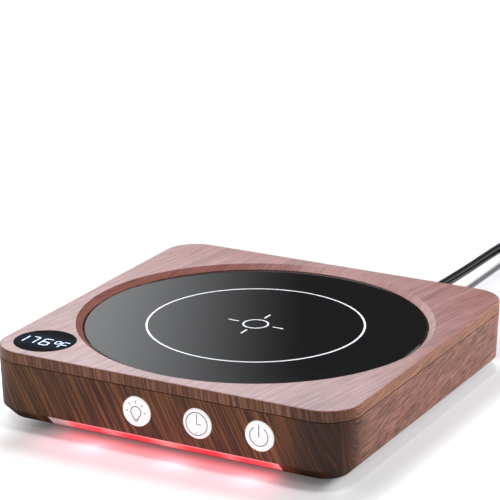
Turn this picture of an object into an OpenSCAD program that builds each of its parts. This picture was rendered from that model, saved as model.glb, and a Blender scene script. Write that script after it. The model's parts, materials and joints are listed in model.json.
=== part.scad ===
/* [Body] */
// Side of the square body
body_w = 130; // [116:1:160]
// Height of the three casings, without the feet
body_h = 24; // [24:0.5:32]
// Radius of the body's upright corners
corner_r = 12; // [10:0.5:16]
// Thickness of the moulded walls
wall = 2.2; // [1.8:0.1:2.8]
// How far the side walls lean in between the seam and the sloping edge
draft_in = 0.7; // [0:0.1:1.2]
// Height of the sloping edge round the underside
under_h = 3.8; // [3:0.1:4.3]
// Rounding of the top's outer edge
edge_r = 0.5; // [0.2:0.1:1]

/* [Top cover] */
// Width of the flat border between the recess and the body's sides
border_w = 4.8; // [4.4:0.1:9]
// Thickness of the cover's top
plate_t = 2.2; // [1.8:0.1:2.8]
// Depth of the cover's edge strip
cover_edge_h = 3.7; // [3.4:0.1:6]
// Open line between the cover and the housing
seam_gap = 0.25; // [0.1:0.05:0.5]
// Width of the recess's sloping wall
rim_slope_w = 2.2; // [1:0.1:3]
// Thickness of the ledge under the glass
ledge_t = 1.6; // [1.2:0.1:2]
// How far the ledge reaches in under the glass
ledge_w = 5.5; // [4:0.5:7]

/* [Glass and heater] */
// Thickness of the glass
glass_t = 3; // [2.4:0.1:3.6]
// How far the glass lies below the cover's top
glass_drop = 1.6; // [1:0.1:2.2]
// Open ring between the glass and the cover
glass_gap = 0.5; // [0.3:0.1:0.8]
// Thickness of the seal under the glass
seal_t = 0.4; // [0.3:0.1:0.8]
// Open ring between the aluminium heat spreader and the ledge
spreader_gap = 3.5; // [1:0.1:8]
// Thickness of the aluminium heat spreader
spreader_t = 2; // [1.5:0.1:2.4]
// Thickness of the heating film with its track
film_t = 0.5; // [0.4:0.1:0.8]
// Number of turns of the heating track
track_turns = 7; // [4:1:9]
// Thickness of the insulation pad
pad_t = 2.6; // [2:0.1:3]
// Thickness of the steel bracket
bracket_t = 1; // [0.8:0.1:1.2]
// Width of the steel bracket's arms
arm_w = 10; // [8:0.5:14]

/* [Display] */
// Diameter of the display window
display_d = 20.6; // [18:0.2:24]
// Distance of the window's centre from both outer sides
display_inset = 14.1; // [13.8:0.1:18]
// Least width of the flat border between the window and the recess
display_border = 1.4; // [1:0.1:3]
// Thickness of the display window
window_t = 1.2; // [1:0.1:1.4]
// Height of the digit block
digits_h = 5; // [4:0.5:6]

/* [Buttons] */
// Diameter of the buttons
button_d = 10; // [8:0.5:11]
// Distance between two buttons
button_pitch = 22; // [18:0.5:24]
// Distance of the last button's centre from the right side
button_margin = 29.2; // [26:0.2:38]
// Depth of the buttons' centres below the top
button_drop = 12; // [11.2:0.1:12.2]
// Travel of a button
button_travel = 0.5; // [0.3:0.1:0.7]

/* [Light bar] */
// Length of the light bar
bar_len = 84; // [60:1:92]
// Number of lamps behind the bar
lamp_count = 3; // [2:1:3]
// Distance between two lamps
lamp_pitch = 28.5; // [20:0.5:30]
// Place of the row of lamps across the front
lamp_mid_x = 3; // [0:0.5:4]

/* [Base] */
// Thickness of the base cover
base_t = 2; // [1.8:0.1:2.4]
// How far the feet lift the body
foot_drop = 1; // [0.6:0.1:2]
// Diameter of the rubber feet
foot_d = 12; // [8:0.5:14]
// Length of the ventilation slots
vent_len = 16; // [8:1:20]
// Number of ventilation slots in a row
vent_count = 7; // [3:1:9]

/* [Electronics] */
// Width of the main circuit board
board_w = 76; // [60:1:80]
// Depth of the main circuit board
board_d = 56; // [50:1:60]
// Height of the posts under the main circuit board
post_h = 2.5; // [2:0.1:3.5]

/* [Cord] */
// Diameter of the cord
cord_d = 3.5; // [2.6:0.1:3.6]
// Place of the cord across the back
cord_x = 21; // [18:1:32]
// Height of the cord's outlet above the table
cord_z = 9.5; // [8.5:0.1:11]
// Length of the strain relief outside the wall
relief_len = 12; // [8:0.5:16]

/* [Hidden] */
$fn = 96;
eps = 0.01;

// Levels
z_base = foot_drop;
z_top = z_base + body_h;
z_seam = z_top - cover_edge_h;
z_under = z_base + under_h;
z_plate = z_top - plate_t;
z_glass = z_top - glass_drop;
z_glass_low = z_glass - glass_t;
z_ledge = z_glass_low - seal_t;
z_ledge_low = z_ledge - ledge_t;
z_spreader_low = z_glass_low - spreader_t;
z_film_low = z_spreader_low - film_t;
z_pad_low = z_film_low - pad_t;
z_bracket_low = z_pad_low - bracket_t;
z_floor = z_base + base_t;
z_board = z_floor + post_h;
board_t = 1.6;
z_board_top = z_board + board_t;
z_button = z_top - button_drop;

// Plan of the body: straight sides between corner centres
half = body_w / 2;
side = half - corner_r;
cut = 1;
seam_r = corner_r;
under_r = corner_r - draft_in;
bottom_r = under_r - under_h;
lip_w = 1.6;
fit = 0.2;
opening_r = bottom_r - lip_w;
base_r = opening_r - fit;
rest_w = 1.5;
rest_r = opening_r - rest_w;
rest_h = 1.5;
slope_wall = wall * sqrt(2);
slope_in_r = z_floor + rest_h - z_base + bottom_r - slope_wall;
inner_low_r = under_r - wall;
inner_top_r = corner_r - wall;
z_inner_bend = z_base + inner_low_r - bottom_r + slope_wall;
tongue_w = 1;
lap_gap = 0.15;
skirt_w = wall - tongue_w - lap_gap;
tongue_r = seam_r - skirt_w - lap_gap;

// Recess of the glass, as wide as the sides and the display window leave room for
rim_r = min(half - border_w, sqrt(2) * (half - display_inset) - display_d / 2 - display_border);
floor_r = rim_r - rim_slope_w;
glass_d = 2 * (floor_r - glass_gap);
collar_w = 2;
collar_r = floor_r + collar_w;
ledge_in_r = floor_r - ledge_w;
spreader_d = 2 * (ledge_in_r - spreader_gap);
post_d = 6;
post_clear = 0.35;
post_r = ledge_in_r + post_d / 2 + post_clear;
post_angles = [90, 210, 330];

// Fasteners: shank diameter, head diameter, head height
case_screw = [2.6, 5, 1.6];
board_screw = [2.2, 4.2, 1.4];
fine_screw = [1.6, 3, 1.1];
screw_fit = 0.1;
hole_fit = 0.3;
tip_room = 0.8;
boss_r = 3.25;
ear_w = 8;
ear_t = 2.5;
ear_lift = 8;
z_ear = z_base + ear_lift;
z_ear_top = z_ear + ear_t;
cover_screw_len = 9;
base_screw_len = 5;
board_screw_len = 4.5;
clamp_screw_len = 7;
bracket_screw_len = 4;
fine_screw_len = 4;

// Display in the corner between the left and the front sides
display_xy = [-(half - display_inset), -(half - display_inset)];
window_rest_t = z_top - window_t - z_plate;
digits = [14, 8.5];
digits_gap = 0.2;
z_digits = z_plate + window_rest_t - digits_gap;
z_display_board = z_digits - digits_h;
display_board_t = 1.2;
display_board_clear = 0.05;
display_board_r = display_d / 2 - display_board_clear;
display_post_r = 1.8;
display_post_in = [4.65, 3.65];
display_post_xy = [for (d = display_post_in) display_board_r - d];

// Places of the bosses that hold the cover: point and direction of the walls
boss_inset = 8.5;
flank_inset = 7.5;
flank_clear = 0.35;
flank_step = display_d / 2 + boss_r + flank_clear;
corner_at = half - boss_inset;
flank_far = half - flank_inset;
flank_near = half - display_inset - flank_step;
boss_sites = [
    [[corner_at, corner_at], [1, 1]],
    [[-corner_at, corner_at], [-1, 1]],
    [[corner_at, -corner_at], [1, -1]],
    [[-flank_near, -flank_far], [0, -1]],
    [[-flank_far, -flank_near], [-1, 0]]
];

// Buttons: from the front, face, guide collar, flange, plunger, switch, board
button_mid_x = half - button_margin - button_pitch;
button_xs = [for (i = [-1:1]) button_mid_x + i * button_pitch];
button_gap = 0.2;
button_edge = 0.35;
guide_w = 0.7;
guide_len = 1.3;
guide_d = button_d + 2 * (button_gap + guide_w);
front_in = half - wall - draft_in;
guide_y = -(front_in - guide_len);
flange_gap = 0.3;
flange_t = 0.8;
flange_over = 0.8;
flange_flat = 0.3;
flange_y = guide_y + flange_gap;
plunger_d = 3.4;
stem_len = 0.6;
plunger_y = flange_y + flange_t + stem_len;
plunger_out = 1;
plunger_in = 1.4;
switch_w = 6;
switch_t = 3.5;
switch_y = plunger_y + plunger_out;
switch_bore = plunger_in + button_travel + 0.3;
button_board_y = switch_y + switch_t;
button_board_t = 1.2;
button_board_h = 8.4;
button_board_over = 11.2;
button_board_len = 2 * button_pitch + 2 * button_board_over;
button_screw_out = 8.7;
button_screw_x = button_pitch + button_screw_out;
standoff_d = 4.6;

// Light bar in the sloping edge of the front
bar_gap = 0.15;
bar_flange_h = 1.7;
bar_flange_t = 1.6;
bar_skin = 2;
light_board_t = 1;
light_board_h = 4;
light_board_over = 7;
light_board_len = (lamp_count - 1) * lamp_pitch + 2 * light_board_over;
lamp = [3.5, 1.9, 2.8];
lamp_gap = 0.5;
bar_back_y = -(side + inner_low_r - bar_gap - bar_flange_t);
lamp_y = bar_back_y + lamp_gap + lamp[1];
light_board_y = lamp_y;
light_board_lift = 0.2;
z_light_board = z_floor + light_board_lift;
z_lamp = z_light_board + light_board_h / 2;
cleat = [3, 2.6, 4];
cleat_fit = 0.1;

// Base cover
base_boss_inset = 12.5;
base_boss_y = 20;
base_boss_r = 3.5;
base_pad_h = 1;
base_pad_over = 0.5;
z_base_boss = z_floor + base_pad_h;
base_boss_h = 5.5;
head_room = 0.3;
z_base_head = z_base + case_screw[2] + head_room;
rib_t = 2;
rib_lift = 1;
rib_out = half - draft_in - wall / 2;
foot_inset = 19;
foot_pocket = 1;
foot_fit = 0.15;
vent_w = 1.8;
vent_pitch = 6;
vent_y = 34;
base_boss_sites = [for (x = [-1, 1], y = [-1, 1]) [x * (half - base_boss_inset), y * base_boss_y]];
foot_sites = [for (x = [-1, 1], y = [-1, 1]) [x * (half - foot_inset), y * (half - foot_inset)]];

// Main board and what stands on it
board_mid = [0, 8];
board_hole_inset = 4;
board_hole_sites = [for (x = [-1, 1], y = [-1, 1])
    board_mid + [x * (board_w / 2 - board_hole_inset), y * (board_d / 2 - board_hole_inset)]];
board_post_d = 6;
board_pilot = board_screw_len - board_t + tip_room;
chip = [10, 6.4, 1.6];
transistor = [6.6, 6.2, 2.3];
capacitor = [6.3, 4.8];
beeper = [9, 4.2];
beeper_hole_d = 2;

// Cord, strain relief and clamp
gland_wall = 1.8;
gland_hole_d = cord_d + 2 * gland_wall;
gland_fit = 0.1;
gland_flange_over = 1.3;
gland_flange_d = gland_hole_d + 2 * gland_flange_over;
gland_flange_t = 1.4;
z_gland_flat = z_inner_bend + gland_fit;
gland_shoulder_over = 0.9;
gland_shoulder_d = gland_hole_d + 2 * gland_shoulder_over;
gland_shoulder_t = 1.5;
gland_out_y = half - draft_in * (z_seam - cord_z - gland_shoulder_d / 2) / (z_seam - z_under);
relief_wall = 0.8;
relief_end_d = cord_d + 2 * relief_wall;
relief_end_y = half + relief_len;
groove_count = 4;
groove_w = 0.9;
groove_depth = 0.6;
lead_fit = 0.1;
lead_out_inset = 1;
lead_out_y = half - lead_out_inset;
lead_in_inset = 21;
lead_in_y = half - lead_in_inset;
clamp_inset = 15;
clamp_y = half - clamp_inset;
clamp = [19, 6, 3];
clamp_step = 6.4;
clamp_pilot = clamp_screw_len - clamp[2] + tip_room;
cord_route = [
    [21, 77, 9.5], [21, 84, 9.5], [21, 92, 9.3], [21, 100, 9.05], [21, 108, 8.75],
    [21, 116, 8.45], [21, 124, 8.2], [21, 132, 8], [21, 140, 7.9], [21, 148, 7.8],
    [21, 156, 7.65], [21, 164, 7.4], [21, 172, 7], [21, 180, 6.5], [21, 188, 5.9],
    [21, 196, 5.4]
];
coil_r = 21;
coil_mid = [47.4, 196];
coil_w = 14.6;
coil_h = 7.3;
tail_route = [
    [73.8, 196, 1.85], [73.8, 189, 1.95], [73.8, 182, 2.6], [73.8, 175, 3.6], [73.8, 168, 4],
    [73.8, 162, 4]
];
plug_mid = [73.8, 162, 4];
plug_relief = 7;
plug_body = [15.4, 21, 8];
plug_shell = [12, 12, 4.5];
plug_wall = 0.4;
plug_relief_d = 6.4;
plug_round = 2.4;
plug_grip = [3, 12, 0.3];
plug_window = 2.2;
plug_tongue = [11, 8.5, 1.8];

// Small parts of the heater
glass_edge = 0.3;
sensor_d = 7;
sensor_h = 3;
sensor_sink = 0.6;
sensor_clear = 0.3;
sensor_step = 1;
seal_inset = 0.5;
film_inset = 1.5;
film_base_t = 0.3;
pad_inset = 1;
pad_clear = 1;
track_in_r = 12;
track_edge = 4;
track_w = 2.2;
track_open = 10;
lead_r = 30;
lead_opening = 8;
fuse_x = 27;
fuse = [3.6, 11];
fuse_pin = 1;
hub_r = 16;
hub_hole_r = 10.4;
hub_hole_d = 3;
rib_side = 0.8;
rib_drop = 1.2;
foot_chamfer = 0.4;
plunger_fit = 0.15;

// Small parts on the main board
chip_at = [-12, 4];
chip_legs = 7;
chip_leg_pitch = 1.27;
chip_leg = [0.5, 1, 0.4];
transistor_at = [18, 12];
transistor_tab = [5.2, 2.6, 0.8];
capacitor_sites = [[30, 2], [30, -6]];
capacitor_round = 0.4;
beeper_at = [-28, 18];
connector = [7.5, 4.5, 4];
heater_at = [0, -12];
sensor_at = [-14, 14];
display_at = [-29, -10];
button_at = [14, -12];
light_at = [-10, -12];
power_at = [cord_x, 28];
wire_d = 1.2;
wire_gap = 0.4;
wire_free = 5;
display_lead_xy = [2, 4];
z_connector = z_board_top + connector[2];
wire_lift = 1;
z_wires = z_connector + wire_lift;

// ---- Shapes that repeat ----

// A profile run round the square body: x counts outwards from the corner centres, y is height
module square_run() {
    for (turn = [0:90:270])
        rotate([0, 0, turn]) {
            translate([side, side, 0])
                rotate_extrude(angle = 90)
                    children();
            translate([side, 0, 0])
                rotate([90, 0, 0])
                    linear_extrude(height = 2 * side, center = true)
                        children();
        }
}

// Plan of a square with the body's corner centres and a corner radius of its own
module square_plan(r) {
    square([2 * side, 2 * (side + r)], center = true);
    square([2 * (side + r), 2 * side], center = true);
    for (x = [-1, 1], y = [-1, 1])
        translate([x * side, y * side])
            circle(r);
}

// A cylinder along Y, from one depth to another
module rod_y(x, z, d, y_from, y_to) {
    translate([x, y_from, z])
        rotate([-90, 0, 0])
            cylinder(d = d, h = y_to - y_from);
}

// A cross-head screw, its head standing on z = 0 and its shank below
module screw(kind, length) {
    recess = [kind[1] * 0.55, kind[0] * 0.25, kind[2] * 0.6];
    difference() {
        union() {
            rotate_extrude()
                polygon([
                    [0, 0], [kind[1] / 2, 0], [kind[1] / 2, kind[2] * 0.5],
                    [kind[1] / 2 - kind[2] * 0.4, kind[2]], [0, kind[2]]
                ]);
            translate([0, 0, -length])
                cylinder(d = kind[0], h = length + eps);
        }
        translate([0, 0, kind[2] - recess[2] / 2 + eps])
            for (turn = [0, 90])
                rotate([0, 0, turn])
                    cube(recess, center = true);
    }
}

// A pilot hole that opens at z = 0 and goes up
module pilot(kind, depth) {
    translate([0, 0, -eps])
        cylinder(d = kind[0] + screw_fit, h = depth + eps);
}

// A bent wire with round bends
module wire(points, d) {
    for (i = [1:len(points) - 1])
        translate(points[i - 1])
            along(points[i] - points[i - 1])
                cylinder(d = d, h = norm(points[i] - points[i - 1]), $fn = 24);
    for (i = [1:len(points) - 2])
        translate(points[i])
            sphere(d = d, $fn = 24);
}

// Turns +Z onto a direction
module along(v) {
    rotate([0, acos(v[2] / norm(v)), atan2(v[1], v[0])])
        children();
}

// A hanging cord as a tube round a route
function unit(v) = v / norm(v);
function heading(p, i) = unit(p[min(i + 1, len(p) - 1)] - p[max(i - 1, 0)]);
function across(d) = unit(cross(d, [0, 0, 1]));
function rim_point(c, d, r, a) = c + r * (cos(a) * across(d) + sin(a) * cross(across(d), d));
module tube_along(route, d, sides = 8) {
    rings = len(route);
    polyhedron(
        points = [for (i = [0:rings - 1], k = [0:sides - 1])
            rim_point(route[i], heading(route, i), d / 2, 360 * k / sides)],
        faces = concat(
            [[for (k = [0:sides - 1]) k]],
            [for (i = [0:rings - 2], k = [0:sides - 1])
                [i * sides + k, (i + 1) * sides + k,
                (i + 1) * sides + (k + 1) % sides, i * sides + (k + 1) % sides]],
            [[for (k = [sides - 1:-1:0]) (rings - 1) * sides + k]]));
}

// ---- Casings ----

module cover_profile() {
    polygon(concat(
        [[0, z_plate], [seam_r - skirt_w, z_plate], [seam_r - skirt_w, z_seam], [seam_r, z_seam]],
        [for (a = [0:15:90])
            [seam_r - edge_r + edge_r * cos(a), z_top - edge_r + edge_r * sin(a)]],
        [[0, z_top]]));
}

// The collar that hangs from the cover round the glass, with the ledge under the glass
module glass_collar() {
    rotate_extrude($fn = 180)
        polygon([
            [ledge_in_r, z_ledge_low], [collar_r, z_ledge_low], [collar_r, z_plate + eps],
            [floor_r - eps, z_plate + eps], [floor_r - eps, z_ledge], [ledge_in_r, z_ledge]
        ]);
}

module glass_recess() {
    rotate_extrude($fn = 180)
        polygon([
            [0, z_ledge], [floor_r, z_ledge], [floor_r, z_glass], [rim_r, z_top],
            [rim_r + eps, z_top + cut], [0, z_top + cut]
        ]);
}

module at_posts() {
    for (a = post_angles)
        rotate([0, 0, a])
            translate([post_r, 0, 0])
                children();
}

module at_display_posts() {
    for (s = [-1, 1])
        translate([display_xy[0] + s * display_post_xy[0], display_xy[1] - s * display_post_xy[1], 0])
            children();
}

module top_cover() {
    color("#96695f")
        difference() {
            union() {
                square_run()
                    cover_profile();
                translate([-side, -side, z_plate])
                    cube([2 * side, 2 * side, plate_t]);
                glass_collar();
                for (b = boss_sites)
                    translate([b[0][0], b[0][1], z_ear_top])
                        cylinder(r = boss_r, h = z_plate - z_ear_top + eps);
                at_posts()
                    translate([0, 0, z_pad_low])
                        cylinder(d = post_d, h = z_ledge_low - z_pad_low + eps);
                at_display_posts()
                    translate([0, 0, z_display_board])
                        cylinder(r = display_post_r, h = z_plate - z_display_board + eps);
            }
            glass_recess();
            for (b = boss_sites)
                translate([b[0][0], b[0][1], z_ear_top])
                    pilot(case_screw, cover_screw_len - ear_t + tip_room);
            at_posts()
                translate([0, 0, z_pad_low])
                    pilot(case_screw, bracket_screw_len - bracket_t + tip_room);
            at_display_posts()
                translate([0, 0, z_display_board])
                    pilot(fine_screw, fine_screw_len - display_board_t + tip_room);
            translate([display_xy[0], display_xy[1], z_top - window_t])
                cylinder(d = display_d + fit, h = window_t + cut);
            translate([display_xy[0], display_xy[1], z_plate])
                cube([digits[0] + 2 * fit, digits[1] + 2 * fit, 3 * plate_t], center = true);
        }
}

module wall_profile() {
    polygon([
        [opening_r, z_base], [bottom_r, z_base], [under_r, z_under],
        [seam_r, z_seam - seam_gap],
        [tongue_r, z_seam - seam_gap], [tongue_r, z_plate - lap_gap],
        [inner_top_r, z_plate - lap_gap], [inner_top_r, z_seam],
        [inner_low_r, z_inner_bend], [slope_in_r, z_floor + rest_h],
        [rest_r, z_floor + rest_h], [rest_r, z_floor], [opening_r, z_floor]
    ]);
}

// Plan of an ear round a boss, running out into the walls on the given sides
module ear_plan(site) {
    p = site[0];
    d = site[1];
    intersection() {
        translate([
            p[0] - (d[0] < 0 ? half : ear_w / 2),
            p[1] - (d[1] < 0 ? half : ear_w / 2)
        ])
            square([
                ear_w / 2 + (d[0] == 0 ? ear_w / 2 : half),
                ear_w / 2 + (d[1] == 0 ? ear_w / 2 : half)
            ]);
        square_plan(under_r - wall / 2);
    }
}

module housing() {
    color("#54382c")
        difference() {
            union() {
                square_run()
                    wall_profile();
                for (b = boss_sites)
                    translate([0, 0, z_ear])
                        linear_extrude(height = ear_t)
                            ear_plan(b);
                for (p = base_boss_sites)
                    base_boss(p);
                for (x = button_xs)
                    rod_y(x, z_button, guide_d, -(half - wall / 2), guide_y);
                for (s = [-1, 1])
                    rod_y(button_mid_x + s * button_screw_x, z_button, standoff_d,
                        -(half - wall / 2), button_board_y);
            }
            for (x = button_xs)
                rod_y(x, z_button, button_d + 2 * cut * button_gap, -half - cut, guide_y + cut);
            for (s = [-1, 1])
                rod_y(button_mid_x + s * button_screw_x, z_button, board_screw[0] + screw_fit,
                    button_board_y - (board_screw_len - button_board_t + tip_room),
                    button_board_y + cut);
            for (b = boss_sites)
                translate([b[0][0], b[0][1], z_ear - cut])
                    cylinder(d = case_screw[0] + hole_fit, h = ear_t + 2 * cut);
            for (p = base_boss_sites)
                translate([p[0], p[1], z_base_boss])
                    pilot(case_screw, base_screw_len - (z_base_boss - z_base_head) + tip_room);
            light_bar_notch();
            rod_y(cord_x, cord_z, gland_hole_d, half - 3 * wall, half + cut);
        }
}

// A boss for a base screw, with the rib that ties it to the side wall
module base_boss(p) {
    out = sign(p[0]);
    translate([p[0], p[1], z_base_boss])
        cylinder(r = base_boss_r, h = base_boss_h);
    translate([out > 0 ? p[0] : -rib_out, p[1] - rib_t / 2, z_base_boss + rib_lift])
        cube([rib_out - abs(p[0]), rib_t, base_boss_h - rib_lift]);
}

// The opening for the light bar through the sloping edge of the front
module light_bar_notch() {
    wide = bar_len + 2 * bar_gap;
    translate([-wide / 2, -half - cut, z_base - cut])
        cube([wide, half + cut - side - rest_r + cut, z_under - z_base + cut]);
    translate([-wide / 2, -side - inner_low_r, z_under - cut])
        cube([wide, inner_low_r, bar_flange_h + cut + fit]);
}

module base_cover() {
    color("#1d1c1d")
        difference() {
            union() {
                translate([0, 0, z_base])
                    linear_extrude(height = base_t)
                        square_plan(base_r);
                for (p = base_boss_sites)
                    translate([p[0], p[1], z_floor - eps])
                        cylinder(r = base_boss_r + base_pad_over, h = base_pad_h + eps);
                for (p = board_hole_sites)
                    translate([p[0], p[1], z_floor - eps])
                        cylinder(d = board_post_d, h = post_h + eps);
                translate([cord_x - clamp[0] / 2, clamp_y - clamp[1] / 2, z_floor - eps])
                    cube([clamp[0], clamp[1], cord_z - z_floor + eps]);
                for (s = [-1, 1])
                    light_board_cleat(lamp_mid_x + s * (light_board_len / 2 - cleat[0]));
            }
            for (p = base_boss_sites)
                translate([p[0], p[1], z_base - cut]) {
                    cylinder(d = case_screw[0] + hole_fit, h = base_t + base_pad_h + 2 * cut);
                    cylinder(d = case_screw[1] + 2 * cut * hole_fit, h = z_base_head - z_base + cut);
                }
            for (p = board_hole_sites)
                translate([p[0], p[1], z_board - board_pilot])
                    cylinder(d = board_screw[0] + screw_fit, h = board_pilot + cut);
            for (p = foot_sites)
                translate([p[0], p[1], z_base - cut])
                    cylinder(d = foot_d + 2 * cut * foot_fit, h = foot_pocket + cut);
            rod_y(cord_x, cord_z, cord_d + 2 * lead_fit, clamp_y - clamp[1], clamp_y + clamp[1]);
            for (s = [-1, 1])
                translate([cord_x + s * clamp_step, clamp_y, cord_z - clamp_pilot])
                    cylinder(d = case_screw[0] + screw_fit, h = clamp_pilot + cut);
            for (i = [0:vent_count - 1], y = [-1, 1])
                translate([(i - (vent_count - 1) / 2) * vent_pitch, y * vent_y, z_base - 1])
                    linear_extrude(height = base_t + 2 * cut)
                        slot_plan(vent_w, vent_len);
        }
}

// Plan of a slot with round ends, lengthwise along Y
module slot_plan(w, length) {
    square([w, length - w], center = true);
    for (s = [-1, 1])
        translate([0, s * (length - w) / 2])
            circle(d = w, $fn = 24);
}

// A block with a slot that holds the light board on edge
module light_board_cleat(x) {
    mid_y = light_board_y + light_board_t / 2;
    difference() {
        translate([x - cleat[0] / 2, mid_y - cleat[1] / 2, z_floor - eps])
            cube([cleat[0], cleat[1], cleat[2] + eps]);
        translate([x - cleat[0], mid_y - light_board_t / 2 - cleat_fit, z_light_board])
            cube([2 * cleat[0], light_board_t + 2 * cleat_fit, cleat[2]]);
    }
}

module rubber_feet() {
    color("#242424")
        for (p = foot_sites)
            translate([p[0], p[1], 0])
                rotate_extrude()
                    polygon([
                        [0, 0], [foot_d / 2 - foot_chamfer, 0], [foot_d / 2, foot_chamfer],
                        [foot_d / 2, z_base + foot_pocket], [0, z_base + foot_pocket]
                    ]);
}

module cover_screws() {
    color("#8d9094")
        for (b = boss_sites)
            translate([b[0][0], b[0][1], z_ear])
                mirror([0, 0, 1])
                    screw(case_screw, cover_screw_len);
}

module base_screws() {
    color("#8d9094")
        for (p = base_boss_sites)
            translate([p[0], p[1], z_base_head])
                mirror([0, 0, 1])
                    screw(case_screw, base_screw_len);
}

// ---- Glass and heater ----

module glass_plate() {
    color("#0c0c0d")
        rotate_extrude($fn = 180)
            polygon([
                [0, z_glass_low], [glass_d / 2, z_glass_low],
                [glass_d / 2, z_glass - glass_edge], [glass_d / 2 - glass_edge, z_glass],
                [0, z_glass]
            ]);
}

module glass_seal() {
    color("#3a3a3c")
        translate([0, 0, z_ledge])
            linear_extrude(height = seal_t)
                difference() {
                    circle(r = glass_d / 2 - seal_inset, $fn = 180);
                    circle(r = ledge_in_r + seal_inset, $fn = 180);
                }
}

module heater_plate() {
    color("#c3c7ca")
        difference() {
            translate([0, 0, z_spreader_low])
                cylinder(d = spreader_d, h = spreader_t);
            translate([0, 0, z_spreader_low - cut])
                cylinder(d = sensor_d + 2 * sensor_clear, h = 1 + sensor_sink);
        }
}

// Radius of one turn of the heating track
function track_r(i) = track_in_r + i * (spreader_d / 2 - track_edge - track_in_r) / (track_turns - 1);

module ring_plan(r_in, r_out) {
    difference() {
        circle(r = r_out);
        circle(r = r_in);
    }
}

// Open turns, joined at their ends by short links, first on one side and then on the other
module track_plan() {
    difference() {
        for (i = [0:track_turns - 1])
            ring_plan(track_r(i) - track_w / 2, track_r(i) + track_w / 2);
        translate([-track_open / 2, -spreader_d])
            square([track_open, spreader_d]);
    }
    for (i = [0:track_turns - 2])
        intersection() {
            ring_plan(track_r(i) - track_w / 2, track_r(i + 1) + track_w / 2);
            translate([i % 2 == 0 ? track_open / 2 : -track_open / 2 - track_w, -spreader_d])
                square([track_w, spreader_d]);
        }
}

module heating_element() {
    color("#b8742c")
        difference() {
            union() {
                translate([0, 0, z_spreader_low - film_base_t])
                    cylinder(r = spreader_d / 2 - film_inset, h = film_base_t);
                translate([0, 0, z_film_low])
                    linear_extrude(height = film_t - film_base_t + eps)
                        track_plan();
            }
            translate([0, 0, z_film_low - cut])
                cylinder(d = sensor_d + 2 * cut * sensor_clear, h = film_t + 2 * cut);
        }
}

module insulation_pad() {
    color("#e9e4d8")
        difference() {
            translate([0, 0, z_pad_low])
                cylinder(r = spreader_d / 2 - pad_inset, h = pad_t);
            translate([0, 0, z_pad_low - cut])
                cylinder(d = sensor_d + 2 * cut * pad_clear, h = pad_t + 2 * cut);
            translate([0, -lead_r, z_pad_low - cut])
                cylinder(d = lead_opening, h = pad_t + 2 * cut);
            translate([fuse_x, 0, z_pad_low - cut])
                linear_extrude(height = pad_t + 2 * cut)
                    slot_plan(fuse[0] + pad_clear, fuse[1] + 2 * fuse_pin + pad_clear);
        }
}

module heater_bracket() {
    color("#a3a7ab")
        difference() {
            translate([0, 0, z_bracket_low])
                union() {
                    linear_extrude(height = bracket_t)
                        bracket_plan();
                    for (a = post_angles, s = [-1, 1])
                        rotate([0, 0, a])
                            translate([
                                hub_r - rib_side, s * (arm_w / 2 - rib_side / 2) - rib_side / 2, -rib_drop
                            ])
                                cube([
                                    post_r - hub_r - case_screw[1], rib_side, rib_drop + eps
                                ]);
                }
            at_posts()
                translate([0, 0, z_bracket_low - cut])
                    cylinder(d = case_screw[0] + hole_fit, h = bracket_t + 2 * cut);
            translate([0, 0, z_bracket_low - cut])
                cylinder(d = sensor_d - pad_clear, h = bracket_t + 2 * cut);
            for (a = [30:60:330])
                rotate([0, 0, a])
                    translate([hub_hole_r, 0, z_bracket_low - cut])
                        cylinder(d = hub_hole_d, h = bracket_t + 2 * cut);
        }
}

module bracket_plan() {
    circle(r = hub_r);
    for (a = post_angles)
        rotate([0, 0, a]) {
            translate([0, -arm_w / 2])
                square([post_r, arm_w]);
            translate([post_r, 0])
                circle(d = arm_w);
        }
}

module bracket_screws() {
    color("#8d9094")
        at_posts()
            translate([0, 0, z_bracket_low])
                mirror([0, 0, 1])
                    screw(case_screw, bracket_screw_len);
}

module thermal_fuse() {
    color("#d9d2b8")
        translate([fuse_x, 0, z_film_low - fuse[0] / 2])
            rotate([90, 0, 0])
                translate([0, 0, -fuse[1] / 2]) {
                    cylinder(d = fuse[0], h = fuse[1]);
                    translate([0, 0, -fuse_pin])
                        cylinder(d = fuse_pin, h = fuse[1] + 2 * fuse_pin, $fn = 24);
                }
}

module temperature_sensor() {
    color("#c9a24b")
        translate([0, 0, z_spreader_low + sensor_sink - sensor_h])
            rotate_extrude()
                polygon([
                    [0, 0], [sensor_d / 2 - sensor_step, 0], [sensor_d / 2 - sensor_step, sensor_step],
                    [sensor_d / 2, sensor_step],
                    [sensor_d / 2, sensor_h], [0, sensor_h]
                ]);
}

// ---- Display ----

module display_window() {
    color("#0a0a0b")
        translate([display_xy[0], display_xy[1], z_top - window_t])
            cylinder(d = display_d, h = window_t);
}

module display_module() {
    color("#202024")
        translate([
            display_xy[0] - digits[0] / 2, display_xy[1] - digits[1] / 2, z_display_board
        ])
            cube([digits[0], digits[1], digits_h]);
}

module display_board() {
    color("#1f5b3a")
        difference() {
            translate([display_xy[0], display_xy[1], z_display_board - display_board_t])
                cylinder(r = display_board_r, h = display_board_t);
            at_display_posts()
                translate([0, 0, z_display_board - display_board_t - cut])
                    cylinder(d = fine_screw[0] + hole_fit, h = display_board_t + 2 * cut);
        }
}

module display_screws() {
    color("#8d9094")
        at_display_posts()
            translate([0, 0, z_display_board - display_board_t])
                mirror([0, 0, 1])
                    screw(fine_screw, fine_screw_len);
}

// ---- Buttons ----

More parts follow.
